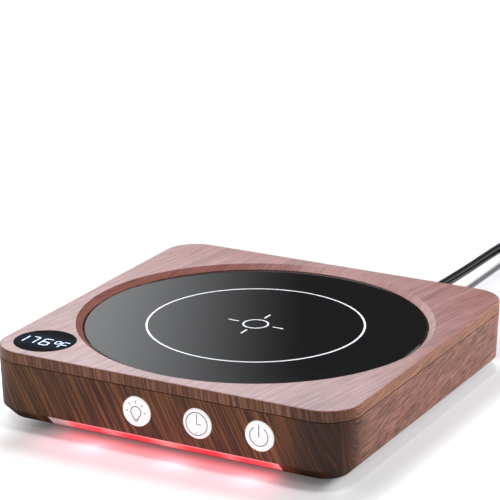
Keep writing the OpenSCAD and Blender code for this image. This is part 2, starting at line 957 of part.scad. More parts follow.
// A button cap: face, flange behind the wall and a stub that meets the switch plunger.
// The flange is cut level above and below, so it clears the cover's collar
module button_cap(x) {
    face_y = -half;
    back_y = flange_y + flange_t;
    flat_h = button_d - 2 * flange_flat;
    color("#f4f4f4") {
        translate([x, face_y, z_button])
            rotate([-90, 0, 0])
                rotate_extrude()
                    polygon([
                        [0, 0], [button_d / 2 - button_edge, 0], [button_d / 2, button_edge],
                        [button_d / 2, back_y - face_y], [plunger_d / 2, back_y - face_y],
                        [plunger_d / 2, plunger_y - face_y], [0, plunger_y - face_y]
                    ]);
        intersection() {
            rod_y(x, z_button, button_d + 2 * flange_over, flange_y, back_y);
            translate([x - button_d, flange_y - cut, z_button - flat_h / 2])
                cube([2 * button_d, flange_t + 2 * cut, flat_h]);
        }
    }
}

module switch_plunger(x) {
    color("#3b3b3d")
        rod_y(x, z_button, plunger_d, plunger_y, switch_y + plunger_in);
}

module light_button() {
    button_cap(button_xs[0]);
}

module timer_button() {
    button_cap(button_xs[1]);
}

module power_button() {
    button_cap(button_xs[2]);
}

module light_switch_plunger() {
    switch_plunger(button_xs[0]);
}

module timer_switch_plunger() {
    switch_plunger(button_xs[1]);
}

module power_switch_plunger() {
    switch_plunger(button_xs[2]);
}

module switch_bodies() {
    color("#b5b7ba")
        for (x = button_xs)
            difference() {
                translate([x - switch_w / 2, switch_y, z_button - switch_w / 2])
                    cube([switch_w, switch_t, switch_w]);
                rod_y(x, z_button, plunger_d + 2 * cut * plunger_fit, switch_y - cut,
                    switch_y + switch_bore);
            }
}

module button_board() {
    color("#1f5b3a")
        difference() {
            translate([
                button_mid_x - button_board_len / 2, button_board_y,
                z_button - button_board_h / 2
            ])
                cube([button_board_len, button_board_t, button_board_h]);
            for (s = [-1, 1])
                rod_y(button_mid_x + s * button_screw_x, z_button, board_screw[0] + hole_fit,
                    button_board_y - cut, button_board_y + button_board_t + cut);
        }
}

module button_board_screws() {
    color("#8d9094")
        for (s = [-1, 1])
            translate([
                button_mid_x + s * button_screw_x, button_board_y + button_board_t, z_button
            ])
                rotate([-90, 0, 0])
                    screw(board_screw, board_screw_len);
}

// ---- Light bar ----

module light_bar() {
    front_r = inner_low_r - bar_gap;
    back_r = front_r - bar_flange_t;
    skin = bar_skin * sqrt(2);
    color("#f3d9d6")
        rotate([90, 0, -90])
            linear_extrude(height = bar_len, center = true)
                translate([side, 0])
                    polygon([
                        [opening_r, z_base], [bottom_r, z_base],
                        [under_r - bar_gap, z_under - bar_gap], [front_r, z_under - bar_gap],
                        [front_r, z_under + bar_flange_h], [back_r, z_under + bar_flange_h],
                        [back_r, z_base + back_r - bottom_r + skin],
                        [opening_r, z_base + opening_r - bottom_r + skin]
                    ]);
}

module light_board() {
    color("#e8e8e6")
        translate([lamp_mid_x - light_board_len / 2, light_board_y, z_light_board])
            cube([light_board_len, light_board_t, light_board_h]);
}

module light_lamps() {
    color("#f2e9c4")
        for (i = [0:lamp_count - 1])
            translate([
                lamp_mid_x + (i - (lamp_count - 1) / 2) * lamp_pitch - lamp[0] / 2,
                light_board_y - lamp[1], z_lamp - lamp[2] / 2
            ])
                cube(lamp);
}

// ---- Main board ----

module main_board() {
    color("#1f5b3a")
        difference() {
            translate([
                board_mid[0] - board_w / 2, board_mid[1] - board_d / 2, z_board
            ])
                cube([board_w, board_d, board_t]);
            for (p = board_hole_sites)
                translate([p[0], p[1], z_board - cut])
                    cylinder(d = board_screw[0] + hole_fit, h = board_t + 2 * cut);
        }
}

module main_board_screws() {
    color("#8d9094")
        for (p = board_hole_sites)
            translate([p[0], p[1], z_board_top])
                screw(board_screw, board_screw_len);
}

// A box that stands on the main board, given by its middle
module on_board(at, size) {
    translate([at[0] - size[0] / 2, at[1] - size[1] / 2, z_board_top])
        cube(size);
}

module control_chip() {
    color("#26262a") {
        on_board(chip_at, chip);
        for (i = [0:chip_legs - 1], s = [-1, 1])
            on_board([
                chip_at[0] + (i - (chip_legs - 1) / 2) * chip_leg_pitch,
                chip_at[1] + s * (chip[1] + chip_leg[1]) / 2
            ], chip_leg);
    }
}

module power_transistor() {
    color("#2c2c30") {
        on_board(transistor_at, transistor);
        on_board(transistor_at + [0, (transistor[1] + transistor_tab[1]) / 2], transistor_tab);
    }
}

module capacitors() {
    color("#35506e")
        for (p = capacitor_sites)
            translate([p[0], p[1], z_board_top])
                rotate_extrude()
                    polygon([
                        [0, 0], [capacitor[0] / 2, 0],
                        [capacitor[0] / 2, capacitor[1] - capacitor_round],
                        [capacitor[0] / 2 - capacitor_round, capacitor[1]], [0, capacitor[1]]
                    ]);
}

module beeper() {
    color("#19191b")
        translate([beeper_at[0], beeper_at[1], z_board_top])
            difference() {
                cylinder(d = beeper[0], h = beeper[1]);
                translate([0, 0, beeper[1] / 2])
                    cylinder(d = beeper_hole_d, h = beeper[1]);
            }
}

module board_connectors() {
    color("#ece7da") {
        on_board(heater_at, connector);
        on_board(sensor_at, connector);
        on_board(display_at, connector);
        on_board(button_at, connector);
        on_board(light_at, connector);
        on_board(power_at, connector);
    }
}

// ---- Wires inside the casings ----

// Wires side by side along a bent route, each one set off from the last by a step
module wires(count, step, points) {
    for (i = [0:count - 1])
        translate((i - (count - 1) / 2) * (wire_d + wire_gap) * step)
            wire(points, wire_d);
}

function above(at) = [at[0], at[1], z_wires];
function into(at) = [at[0], at[1], z_connector];

module power_wires() {
    color("#b03a34")
        wires(2, [1, 0, 0], [
            [cord_x, lead_in_y, cord_z], [cord_x, lead_in_y - wire_free, cord_z],
            [cord_x, lead_in_y - wire_free, z_wires], above(power_at), into(power_at)
        ]);
}

module heater_leads() {
    color("#d8d5cd")
        wires(2, [1, 0, 0], [
            [0, -lead_r, z_film_low], [0, -lead_r, z_wires], above(heater_at), into(heater_at)
        ]);
}

module sensor_leads() {
    color("#3d6fa8")
        wires(2, [1, 1, 0], [
            [0, 0, z_spreader_low + sensor_sink - sensor_h], [0, 0, z_wires],
            [sensor_at[0], 0, z_wires], above(sensor_at), into(sensor_at)
        ]);
}

module display_cable() {
    start = display_xy + display_lead_xy;
    color("#8a8d92")
        wires(3, [1, -1, 0], [
            [start[0], start[1], z_display_board - display_board_t],
            [start[0], start[1], z_wires], [display_at[0], start[1], z_wires],
            above(display_at), into(display_at)
        ]);
}

module button_cable() {
    color("#8a8d92")
        wires(3, [1, 0, 0], [
            [button_at[0], button_board_y + button_board_t, z_wires], above(button_at),
            into(button_at)
        ]);
}

module light_cable() {
    back_y = light_board_y + light_board_t;
    color("#c7c2b6")
        wires(3, [1, 0, 0], [
            [light_at[0], back_y, z_lamp], [light_at[0], back_y + wire_free, z_lamp],
            [light_at[0], back_y + wire_free, z_wires], above(light_at), into(light_at)
        ]);
}

// ---- Cord ----

module cord_gland() {
    back_y = front_in - gland_flange_t;
    neck = gland_hole_d / 2 - gland_fit;
    shoulder_y = gland_out_y + gland_shoulder_t;
    color("#141414")
        difference() {
            translate([cord_x, 0, cord_z])
                rotate([-90, 0, 0])
                    rotate_extrude()
                        polygon([
                            [0, back_y], [gland_flange_d / 2, back_y],
                            [gland_flange_d / 2, front_in - gland_fit],
                            [neck, front_in - gland_fit], [neck, gland_out_y],
                            [gland_shoulder_d / 2, gland_out_y],
                            [gland_shoulder_d / 2, shoulder_y], [neck, shoulder_y],
                            [relief_end_d / 2, relief_end_y], [0, relief_end_y]
                        ]);
            rod_y(cord_x, cord_z, cord_d + 2 * cut * lead_fit, back_y - cut, lead_out_y);
            translate([cord_x - gland_flange_d, back_y - cut, z_gland_flat - gland_flange_d])
                cube([2 * gland_flange_d, gland_flange_t + cut, gland_flange_d]);
            for (i = [0:groove_count - 1])
                relief_groove(shoulder_y + (i + 1) * (relief_end_y - shoulder_y) / (groove_count + 1));
        }
}

// A ring cut round the strain relief
module relief_groove(y) {
    share = (y - gland_out_y - gland_shoulder_t) / (relief_end_y - gland_out_y - gland_shoulder_t);
    outer = gland_hole_d / 2 + (relief_end_d / 2 - gland_hole_d / 2) * share;
    translate([cord_x, y, cord_z])
        rotate([-90, 0, 0])
            rotate_extrude()
                translate([outer - groove_depth, -groove_w / 2])
                    square([groove_depth + cut, groove_w]);
}

module lead_in() {
    color("#141414")
        rod_y(cord_x, cord_z, cord_d, lead_in_y, lead_out_y);
}

module cord_clamp() {
    color("#2b2b2d")
        difference() {
            translate([cord_x - clamp[0] / 2, clamp_y - clamp[1] / 2, cord_z])
                cube(clamp);
            rod_y(cord_x, cord_z, cord_d + 2 * lead_fit, clamp_y - clamp[1], clamp_y + clamp[1]);
            for (s = [-1, 1])
                translate([cord_x + s * clamp_step, clamp_y, cord_z - cut])
                    cylinder(d = case_screw[0] + hole_fit, h = clamp[2] + 2 * cut);
        }
}

module clamp_screws() {
    color("#8d9094")
        for (s = [-1, 1])
            translate([cord_x + s * clamp_step, clamp_y, cord_z + clamp[2]])
                screw(case_screw, clamp_screw_len);
}

module cord() {
    color("#101010")
        tube_along(cord_route, cord_d);
}

module cord_tail() {
    color("#101010")
        tube_along(tail_route, cord_d);
}

module cord_coil() {
    bend = cord_d / 2;
    color("#101010")
        translate([coil_mid[0], coil_mid[1], 0])
            rotate_extrude()
                translate([coil_r, coil_h / 2]) {
                    square([coil_w, coil_h - 2 * bend], center = true);
                    square([coil_w - 2 * bend, coil_h], center = true);
                    for (x = [-1, 1], y = [-1, 1])
                        translate([x * (coil_w / 2 - bend), y * (coil_h / 2 - bend)])
                            circle(r = bend, $fn = 24);
                }
}

// Turns a shape drawn along +Z from the plug's cable end towards its contacts
module on_plug() {
    translate(plug_mid)
        rotate([90, 0, 0])
            children();
}

// Plan of a rectangle with rounded corners
module soft_plan(w, h, r) {
    square([w - 2 * r, h], center = true);
    square([w, h - 2 * r], center = true);
    for (x = [-1, 1], y = [-1, 1])
        translate([x * (w / 2 - r), y * (h / 2 - r)])
            circle(r = r, $fn = 32);
}

module plug_body() {
    color("#151515")
        on_plug() {
            cylinder(d1 = relief_end_d, d2 = plug_relief_d, h = plug_relief + eps, $fn = 48);
            translate([0, 0, plug_relief])
                linear_extrude(height = plug_body[1])
                    soft_plan(plug_body[0], plug_body[2], plug_round);
            translate([0, 0, plug_relief + plug_grip[0]])
                linear_extrude(height = plug_grip[1])
                    soft_plan(plug_body[0] + 2 * plug_grip[2], plug_body[2], plug_round);
        }
}

module plug_shell() {
    front = plug_relief + plug_body[1];
    color("#c8cacc")
        on_plug()
            difference() {
                translate([0, 0, front])
                    linear_extrude(height = plug_shell[1])
                        square([plug_shell[0], plug_shell[2]], center = true);
                translate([0, 0, front + plug_wall])
                    linear_extrude(height = plug_shell[1])
                        square([
                            plug_shell[0] - 2 * plug_wall, plug_shell[2] - 2 * plug_wall
                        ], center = true);
                for (x = [-1, 1])
                    translate([x * plug_shell[0] / 5, 0, front + plug_shell[1] * 0.6])
                        cube([plug_window, plug_shell[2] + 2 * cut, plug_window], center = true);
            }
}

module plug_tongue() {
    front = plug_relief + plug_body[1] + plug_wall;
    color("#f0f0f0")
        on_plug()
            translate([0, plug_shell[2] / 2 - plug_wall - plug_tongue[2] / 2, front])
                linear_extrude(height = plug_tongue[1])
                    square([plug_tongue[0], plug_tongue[2]], center = true);
}

top_cover();
housing();
base_cover();
glass_plate();
glass_seal();
heater_plate();
heating_element();
insulation_pad();
heater_bracket();
bracket_screws();
thermal_fuse();
temperature_sensor();
display_window();
display_module();
display_board();
display_screws();
light_button();
timer_button();
power_button();
light_switch_plunger();
timer_switch_plunger();
power_switch_plunger();
switch_bodies();
button_board();
button_board_screws();
light_bar();
light_board();
light_lamps();
main_board();
control_chip();
power_transistor();
capacitors();
beeper();
board_connectors();
main_board_screws();
cover_screws();
base_screws();
rubber_feet();
cord_gland();
cord_clamp();
clamp_screws();
lead_in();
power_wires();
heater_leads();
sensor_leads();
display_cable();
button_cable();
light_cable();
cord();
cord_coil();
cord_tail();
plug_body();
plug_shell();
plug_tongue();
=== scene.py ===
# %% [markdown]
# # Dressing a square mug warmer
#
# The warmer is a low walnut-look box with a black glass plate let into its top. A round display sits
# in the near left corner, three white buttons and a red light bar are in the front, and a thin cord
# leaves the back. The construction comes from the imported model, already at its real size and place.
# This lesson gives every piece its finish, adds the prints, the lit digits and the cord, and lights it.

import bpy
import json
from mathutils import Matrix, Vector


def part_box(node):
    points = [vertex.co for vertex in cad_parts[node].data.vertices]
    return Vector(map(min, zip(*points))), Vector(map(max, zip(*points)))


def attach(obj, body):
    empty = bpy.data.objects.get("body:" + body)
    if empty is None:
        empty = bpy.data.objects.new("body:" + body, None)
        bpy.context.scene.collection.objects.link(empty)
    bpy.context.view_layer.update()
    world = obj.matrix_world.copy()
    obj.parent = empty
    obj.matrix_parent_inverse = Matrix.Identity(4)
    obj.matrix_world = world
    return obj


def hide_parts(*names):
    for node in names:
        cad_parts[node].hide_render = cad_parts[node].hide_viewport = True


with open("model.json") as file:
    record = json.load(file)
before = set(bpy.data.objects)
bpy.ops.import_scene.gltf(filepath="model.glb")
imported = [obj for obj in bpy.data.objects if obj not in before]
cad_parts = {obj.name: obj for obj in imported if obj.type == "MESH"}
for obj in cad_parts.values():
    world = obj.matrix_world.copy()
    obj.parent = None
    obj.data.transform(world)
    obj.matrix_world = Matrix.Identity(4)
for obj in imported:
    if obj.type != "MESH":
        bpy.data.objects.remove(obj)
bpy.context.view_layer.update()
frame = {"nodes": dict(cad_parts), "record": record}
print("nodes:", len(frame["nodes"]))

# %% [markdown]
# ## Units
#
# Blender works in metres, and a small appliance is easier to think about in millimetres. Sizes below are
# written in millimetres and turned into metres where a mesh, a lamp or the camera takes them.

# %% Millimetres
import json
import math

import bpy
from mathutils import Matrix, Quaternion, Vector

MM = 0.001


def mm(*numbers):
    """A point or a size written in millimetres, in metres."""
    return Vector(numbers) * MM


def node_box(name):
    """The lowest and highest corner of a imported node, in millimetres."""
    low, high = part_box(name)
    return low / MM, high / MM


glass_low, glass_high = node_box("glass_plate")
print("the glass is", round(glass_high.x - glass_low.x, 1), "mm across")

# %% [markdown]
# ## The camera
#
# A product shot of a small thing is taken with a long lens from well back, which keeps the near corner
# from bulging. The camera could be aimed with a Track To constraint, but a constraint would fight with a
# view that is set later. So its rotation is worked out once from the point that it looks at.

# %% A long lens, aimed just above the plate
CAMERA_AT = (370.0, -692.4, 302.5)
CAMERA_AIM = (-5.33, 5.92, 46.96)
CAMERA_ROLL = -0.06
LENS = 178.92
SENSOR = 36

camera_data = bpy.data.cameras.new("camera")
camera_data.lens = LENS
camera_data.sensor_width = SENSOR
camera = bpy.data.objects.new("camera", camera_data)
bpy.context.scene.collection.objects.link(camera)
camera.location = mm(*CAMERA_AT)
level = (mm(*CAMERA_AIM) - camera.location).to_track_quat("-Z", "Y")
camera.rotation_mode = "QUATERNION"
camera.rotation_quaternion = level @ Quaternion((0, 0, 1), math.radians(CAMERA_ROLL))
bpy.context.scene.camera = camera
print("camera stands", round((mm(*CAMERA_AIM) - camera.location).length, 3), "m from its aim")

# %% [markdown]
# ## The cord
#
# The lead is a 3.5 mm round cable that ends in a USB plug, with about 1.15 m of it outside the case. It
# could be simulated, but a cable that is put away lies where a hand laid it: out of the back, down on
# the table, and round into a neat coil. So its line is drawn. The free stretch is a list of given points,
# and the coil's turns come from a loop: four rings wind inwards on top, step down, and wind outwards
# again underneath. Each ring lies a little over one diameter from the next. The three STEP values are
# spans in degrees of winding. In the first two, counted from each full turn, the cord steps a ring
# inwards or outwards, and in the third a layer down.

# %% The line of the cord
CORD_D = 3.5
CORD_ROUTE = [
    (21, 77, 9.5), (21, 84, 9.5), (21, 92, 9.3), (21, 100, 9.05), (21, 108, 8.75),
    (21, 116, 8.45), (21, 124, 8.2), (21, 132, 8), (21, 140, 7.9), (21, 148, 7.8),
    (21, 156, 7.65), (21, 164, 7.4), (21, 172, 7), (21, 180, 6.5), (21, 188, 5.9),
]
COIL_MID = (47.4, 196)
COIL_OUTER = 26.4
COIL_PITCH = 3.6
COIL_RINGS = 4
COIL_TOP, COIL_LOW = 5.4, 1.85
COIL_TRAVEL = 2700
COIL_POINT_EVERY = 15
STEP_IN = (-60, -15)
STEP_OUT = (1260, 1305)
STEP_DOWN = (1310, 1375)
TAIL_ROUTE = [(73.8, 189, 1.95), (73.8, 182, 2.6), (73.8, 175, 3.6), (73.8, 168, 4), (73.8, 162, 4)]


def eased(value, start, end, before, after):
    """Goes from before to after, smoothly, while value goes from start to end."""
    share = min(max((value - start) / (end - start), 0), 1)
    return before + (after - before) * share * share * (3 - 2 * share)


def coil_point(travel):
    """A point of the coil after so many degrees: in on the top layer, down, and out on the lower one."""
    radius = COIL_OUTER
    for turn in range(1, COIL_RINGS):
        wound = 360 * turn
        radius -= eased(travel, wound + STEP_IN[0], wound + STEP_IN[1], 0, COIL_PITCH)
        radius += eased(travel, wound + STEP_OUT[0], wound + STEP_OUT[1], 0, COIL_PITCH)
    height = eased(travel, *STEP_DOWN, COIL_TOP, COIL_LOW)
    angle = math.radians(180 - travel)
    return (COIL_MID[0] + radius * math.cos(angle), COIL_MID[1] + radius * math.sin(angle), height)


coil_turns = [coil_point(travel) for travel in range(0, COIL_TRAVEL + 1, COIL_POINT_EVERY)]
cord_line = CORD_ROUTE + coil_turns + TAIL_ROUTE
cord_length = sum(math.dist(a, b) for a, b in zip(cord_line, cord_line[1:]))
print("cord outside the case:", round(cord_length), "mm")


# %% [markdown]
# A curve with a round bevel is the natural cord: it keeps one centreline that can be measured, and its
# thickness is a number. Bezier points with automatic handles pass through every point without a kink.

# %% The cord as a bevelled curve
def smooth_curve(name, points, radius):
    """A round tube whose centreline runs smoothly through the points, which are in millimetres."""
    data = bpy.data.curves.new(name, "CURVE")
    data.dimensions = "3D"
    data.bevel_depth = radius * MM
    data.bevel_resolution = 4
    data.use_fill_caps = True
    spline = data.splines.new("BEZIER")
    spline.bezier_points.add(len(points) - 1)
    for knot, point in zip(spline.bezier_points, points):
        knot.co = mm(*point)
        knot.handle_left_type = knot.handle_right_type = "AUTO"
    spline.resolution_u = 4
    tube = bpy.data.objects.new(name, data)
    bpy.context.scene.collection.objects.link(tube)
    return tube


power_cord = smooth_curve("power_cord", cord_line, CORD_D / 2)
print("the cord runs through", len(cord_line), "points")

# %% [markdown]
# ## One class for shader and geometry maths
#
# A node tree is a sum written as boxes. Adding each box by hand takes four lines, so a small class wraps
# one socket and turns ordinary Python operators into Math nodes. The same class serves materials and
# Geometry Nodes, since both are trees of sockets.


# %% The Wire class
class Wire:
    """One output socket of a node tree. Arithmetic on wires adds Math nodes to the tree."""

    def __init__(self, tree, socket=None):
        self.tree = tree
        self.socket = socket

    def add(self, kind, settings=None, inputs=None, output=0):
        """Adds a node: first its settings and ramp stops, then a value or a wire for each socket."""
        node = self.tree.nodes.new(kind)
        for name, value in (settings or {}).items():
            if name == "stops":
                fill_ramp(node.color_ramp, value)
            else:
                setattr(node, name, value)
        for key, value in (inputs or {}).items():
            if isinstance(value, Wire):
                self.tree.links.new(value.socket, node.inputs[key])
            else:
                node.inputs[key].default_value = value
        return Wire(self.tree, node.outputs[output]) if len(node.outputs) else Wire(self.tree)

    def out(self, name):
        """Another output of the same node."""
        return Wire(self.tree, self.socket.node.outputs[name])

    def math(self, operation, *values):
        """A Math node that works on the values, which are numbers or wires."""
        return self.add("ShaderNodeMath", {"operation": operation}, dict(enumerate(values)))

    def __add__(self, other):
        return self.math("ADD", self, other)

    def __sub__(self, other):
        return self.math("SUBTRACT", self, other)

    def __rsub__(self, other):
        return self.math("SUBTRACT", other, self)

    def __mul__(self, other):
        return self.math("MULTIPLY", self, other)

    def __truediv__(self, other):
        return self.math("DIVIDE", self, other)

    def __pow__(self, other):
        return self.math("POWER", self, other)

    __radd__ = __add__
    __rmul__ = __mul__


def fill_ramp(ramp, stops):
    """Gives a colour ramp its stops, each a place from 0 to 1 and a colour."""
    while len(ramp.elements) < len(stops):
        ramp.elements.new(1)
    for element, (place, colour) in zip(ramp.elements, stops):
        element.position = place
        element.color = (*colour, 1)


# %% [markdown]
# A few words come back in every finish: a smooth step between two values, a blend of two colours, noise,
# relief, and a position in millimetres. Object coordinates are used throughout, because every piece sits
# at the origin with its place in its mesh: the pattern then stays on the piece when the piece moves.


# %% Words that the finishes share
def smooth(value, start, end):
    """0 before start, 1 past end, and a soft step between them. Start may be the higher of the two."""
    limits = {"Value": value, "From Min": start, "From Max": end}
    return value.add("ShaderNodeMapRange", {"interpolation_type": "SMOOTHSTEP"}, limits)


def as_colour(value):
    """A colour of three numbers gets its fourth, and a wire stays a wire."""
    return value if isinstance(value, Wire) else (*value, 1)


def blend(factor, first, second, how="MIX"):
    """Two colours mixed by a wire. On a Mix node colours are inputs 6 and 7, and come out at 2."""
    colours = {0: factor, 6: as_colour(first), 7: as_colour(second)}
    return factor.add("ShaderNodeMix", {"data_type": "RGBA", "blend_type": how}, colours, 2)


def place_in_mm(tree):
    """The Object coordinates of the shaded point as three wires, in millimetres."""
    here = Wire(tree).add("ShaderNodeTexCoord", output="Object")
    split = here.add("ShaderNodeSeparateXYZ", inputs={0: here})
    return [split.out(axis) / MM for axis in "XYZ"]


def join(x, y, z):
    """One vector wire from three numbers or wires."""
    wire = next(value for value in (x, y, z) if isinstance(value, Wire))
    return wire.add("ShaderNodeCombineXYZ", inputs={0: x, 1: y, 2: z})


def noise(where, scale=1.0, detail=2.0, roughness=0.5, distortion=0.0):
    """Noise from 0 to 1 at a vector wire."""
    inputs = {"Vector": where, "Scale": scale, "Detail": detail, "Roughness": roughness}
    inputs["Distortion"] = distortion
    return where.add("ShaderNodeTexNoise", inputs=inputs)


def bump(height, depth):
    """A normal wire for a relief of so many millimetres, from a height of 0 to 1."""
    return height.add("ShaderNodeBump", inputs={"Distance": depth * MM, "Height": height}, output="Normal")


# %% [markdown]
# A material starts from Blender's Principled shader. What is the same all over the piece is a plain
# number on the shader's own socket. What varies comes in as a wire.


# %% Start a material
materials = {}


def new_material(name):
    """An empty Principled material and the tree to build it in."""
    material = bpy.data.materials.new(name)
    material.use_nodes = True
    materials[name] = material
    return material.node_tree


def finish(tree, **values):
    """Fills the Principled shader's sockets: a word such as base_color names the socket Base Color."""
    shader = tree.nodes["Principled BSDF"]
    for word, value in values.items():
        name = word.replace("_", " ").title().replace("Ior", "IOR")
        if isinstance(value, Wire):
            tree.links.new(value.socket, shader.inputs[name])
        elif isinstance(value, tuple):
            shader.inputs[name].default_value = (*value, 1)
        else:
            shader.inputs[name].default_value = value


# %% [markdown]
# ## Walnut film
#
# The case is moulded plastic under a printed film. The film is drawn over the walls and wraps the
# corners, so its grain runs straight over the top, leans on the front, fans round each corner and lies
# along the side. Real wood would show end grain there. One noise texture, stretched along the grain,
# makes streaks. What changes from face to face is only the number that runs across the grain, called the
# lane here. On the sides the lanes are finer.

# %% The lane number across the grain
CORNER_MID = 53
FAN_FROM = 0.45
TOP_LEAN = math.radians(10)
SIDE_LEAN = math.radians(10)
SIDE_FINER = 1.6
SIDE_START = 57
NOT_ZERO = 0.001


def clamp(value, low, high):
    """A wire held between two limits."""
    return value.math("MINIMUM", value.math("MAXIMUM", value, low), high)


def top_lane(x, y):
    """The lane on the top, which leans a little."""
    return x * math.cos(TOP_LEAN) - y * math.sin(TOP_LEAN)


def wall_lane(x, y, z, lean):
    """The lane on the walls, leaning in front and nearly level at the sides, and how far it is a side."""
    over_x = (x - clamp(x, -CORNER_MID, CORNER_MID)) ** 2
    over_y = (y - clamp(y, -CORNER_MID, CORNER_MID)) ** 2
    on_side = smooth(over_x / (over_x + over_y + NOT_ZERO), FAN_FROM, 1.0)
    leaning = x * math.cos(lean) + z * math.sin(lean)
    level = z * math.cos(SIDE_LEAN) - y * math.sin(SIDE_LEAN)
    level = level * SIDE_FINER + x.math("SIGN", x) * SIDE_START
    return leaning + (level - leaning) * on_side, on_side


# %% [markdown]
# The finish also has to know where it is. A face that points up is the top, and one that points up
# obliquely is the sloping wall of the recess. A soft round patch at the near right corner is darker:
# painted shade.

# %% Where on the case a point is
FLAT, SLOPING = 0.95, 0.5
# Where the patch of painted shade sits at the near right corner, and its reach and core, in mm.
SHADE_PATCH_AT = (59, -64)
SHADE_PATCH_REACH, SHADE_PATCH_CORE = 20.0, 3.0


def facing_up(x):
    """1 on the top and 0 on the walls, and then 1 on the recess's slope only."""
    facing = x.add("ShaderNodeNewGeometry", output="Normal")
    upward = facing.add("ShaderNodeSeparateXYZ", inputs={0: facing}).out("Z")
    on_top = upward.math("GREATER_THAN", upward, SLOPING)
    return on_top, on_top - upward.math("GREATER_THAN", upward, FLAT)


def length_of(x, y):
    """How long the step x, y is."""
    return (x * x + y * y) ** 0.5


def near_shade_patch(x, y):
    """1 at the middle of the patch of painted shade, fading to 0 at its reach."""
    return smooth(length_of(x - SHADE_PATCH_AT[0], y - SHADE_PATCH_AT[1]), SHADE_PATCH_REACH, SHADE_PATCH_CORE)


# %% [markdown]
# Broad bands, streaks, lines and fibres are the same noise at different widths. Each layer below has its
# width in millimetres, its length as a share of the whole run, and its detail. The layers are added up
# by their shares. A side loses some of the broad layers and gains fibres, and the slope is calmer.

# %% Layers of grain
LAYERS = {
    "bands": (6.0, 2, 2.0),
    "streaks": (1.1, 1, 1),
    "lines": (0.55, 0.7, 1),
    "fibres": (0.3, 0.4, 2.0),
}
BAND_SHARE, STREAK_SHARE, LINE_SHARE, FIBRE_SHARE = 0.45, 0.8, 1.1, 0.7
SIDE_LOSS, SIDE_GAIN = 0.5, 1.1
SLOPE_LOSS = 0.55
SWAY_SCALE, SWAY = 0.02, 4


def swaying(lane, x, y, z):
    """The lane with a slow wander of a few millimetres."""
    sway = noise(join(x * SWAY_SCALE, y * SWAY_SCALE, z * SWAY_SCALE), detail=1) - 0.5
    return lane + sway * SWAY


def grain_maker(lane, x, y, z, runs):
    """Gives a function that makes noise of a width across the grain and a length along it."""
    def grain(width, length, detail):
        along_x = (x - z) / (length * runs[0])
        along_y = y / (length * runs[1])
        return noise(join(lane / width, along_x, along_y), detail=detail)
    return grain


def layered(bands, streaks, lines, fibres, on_side, on_slope):
    """The layers added up, below 0 where the wood is dark and above 0 where it is light."""
    broad = (bands - 0.5) * BAND_SHARE + (streaks - 0.5) * STREAK_SHARE + (lines - 0.5) * LINE_SHARE
    fine = (fibres - 0.5) * (FIBRE_SHARE + on_side * SIDE_GAIN)
    return (broad * (1 - on_side * SIDE_LOSS) + fine) * (1 - on_slope * SLOPE_LOSS)


# %% [markdown]
# A ramp turns the sum into colour. Tints then follow the place, and most of them are painted light: a
# painted sheen that turns the top bluer, a painted sheen that makes the housing's side walls lighter and
# bluer, painted shade on the slope at the left and a painted sheen on it at the back, and painted shade
# in the patch at the near right corner. The cover's side tint only makes its side strips redder. The
# pores are short dashes, darker and slightly sunk, and in the patch of painted shade some lines show as
# fine hairs. The fibres lift the roughness a little, and the film has a satin surface.

# %% Tints and pores
TOP_GAIN, WALL_GAIN = 0.8, 0.9
# How much the patch of painted shade darkens the tone, and the tint it lays on the walls.
SHADE_PATCH_DARK = 0.45
SHADE_PATCH_TINT = (0.62, 0.43, 0.34)
# Painted shade on the slope at the left, and a painted sheen on it at the back.
SLOPE_LEFT, SLOPE_LEFT_SHADE = (-5.0, -45.0), (0.66, 0.55, 0.50)
SLOPE_BACK, SLOPE_BACK_SHEEN = (10.0, 42.0), (1.3, 1.38, 1.42)
PORE_WIDTH, PORE_EDGE, PORE_STREAKS = 0.55, (0.54, 0.62), (0.8, 0.3)
PORE_DARK = 0.3
HAIR_EDGE, HAIR_DEPTH = (0.47, 0.40), 0.8
FIBRE_RELIEF, FILM_RELIEF = 0.35, 0.03


def tinted(colour, tints):
    """A colour multiplied by one tint after another, each with the mask that says where."""
    for mask, tint in tints:
        colour = blend(mask, colour, tint, "MULTIPLY")
    return colour


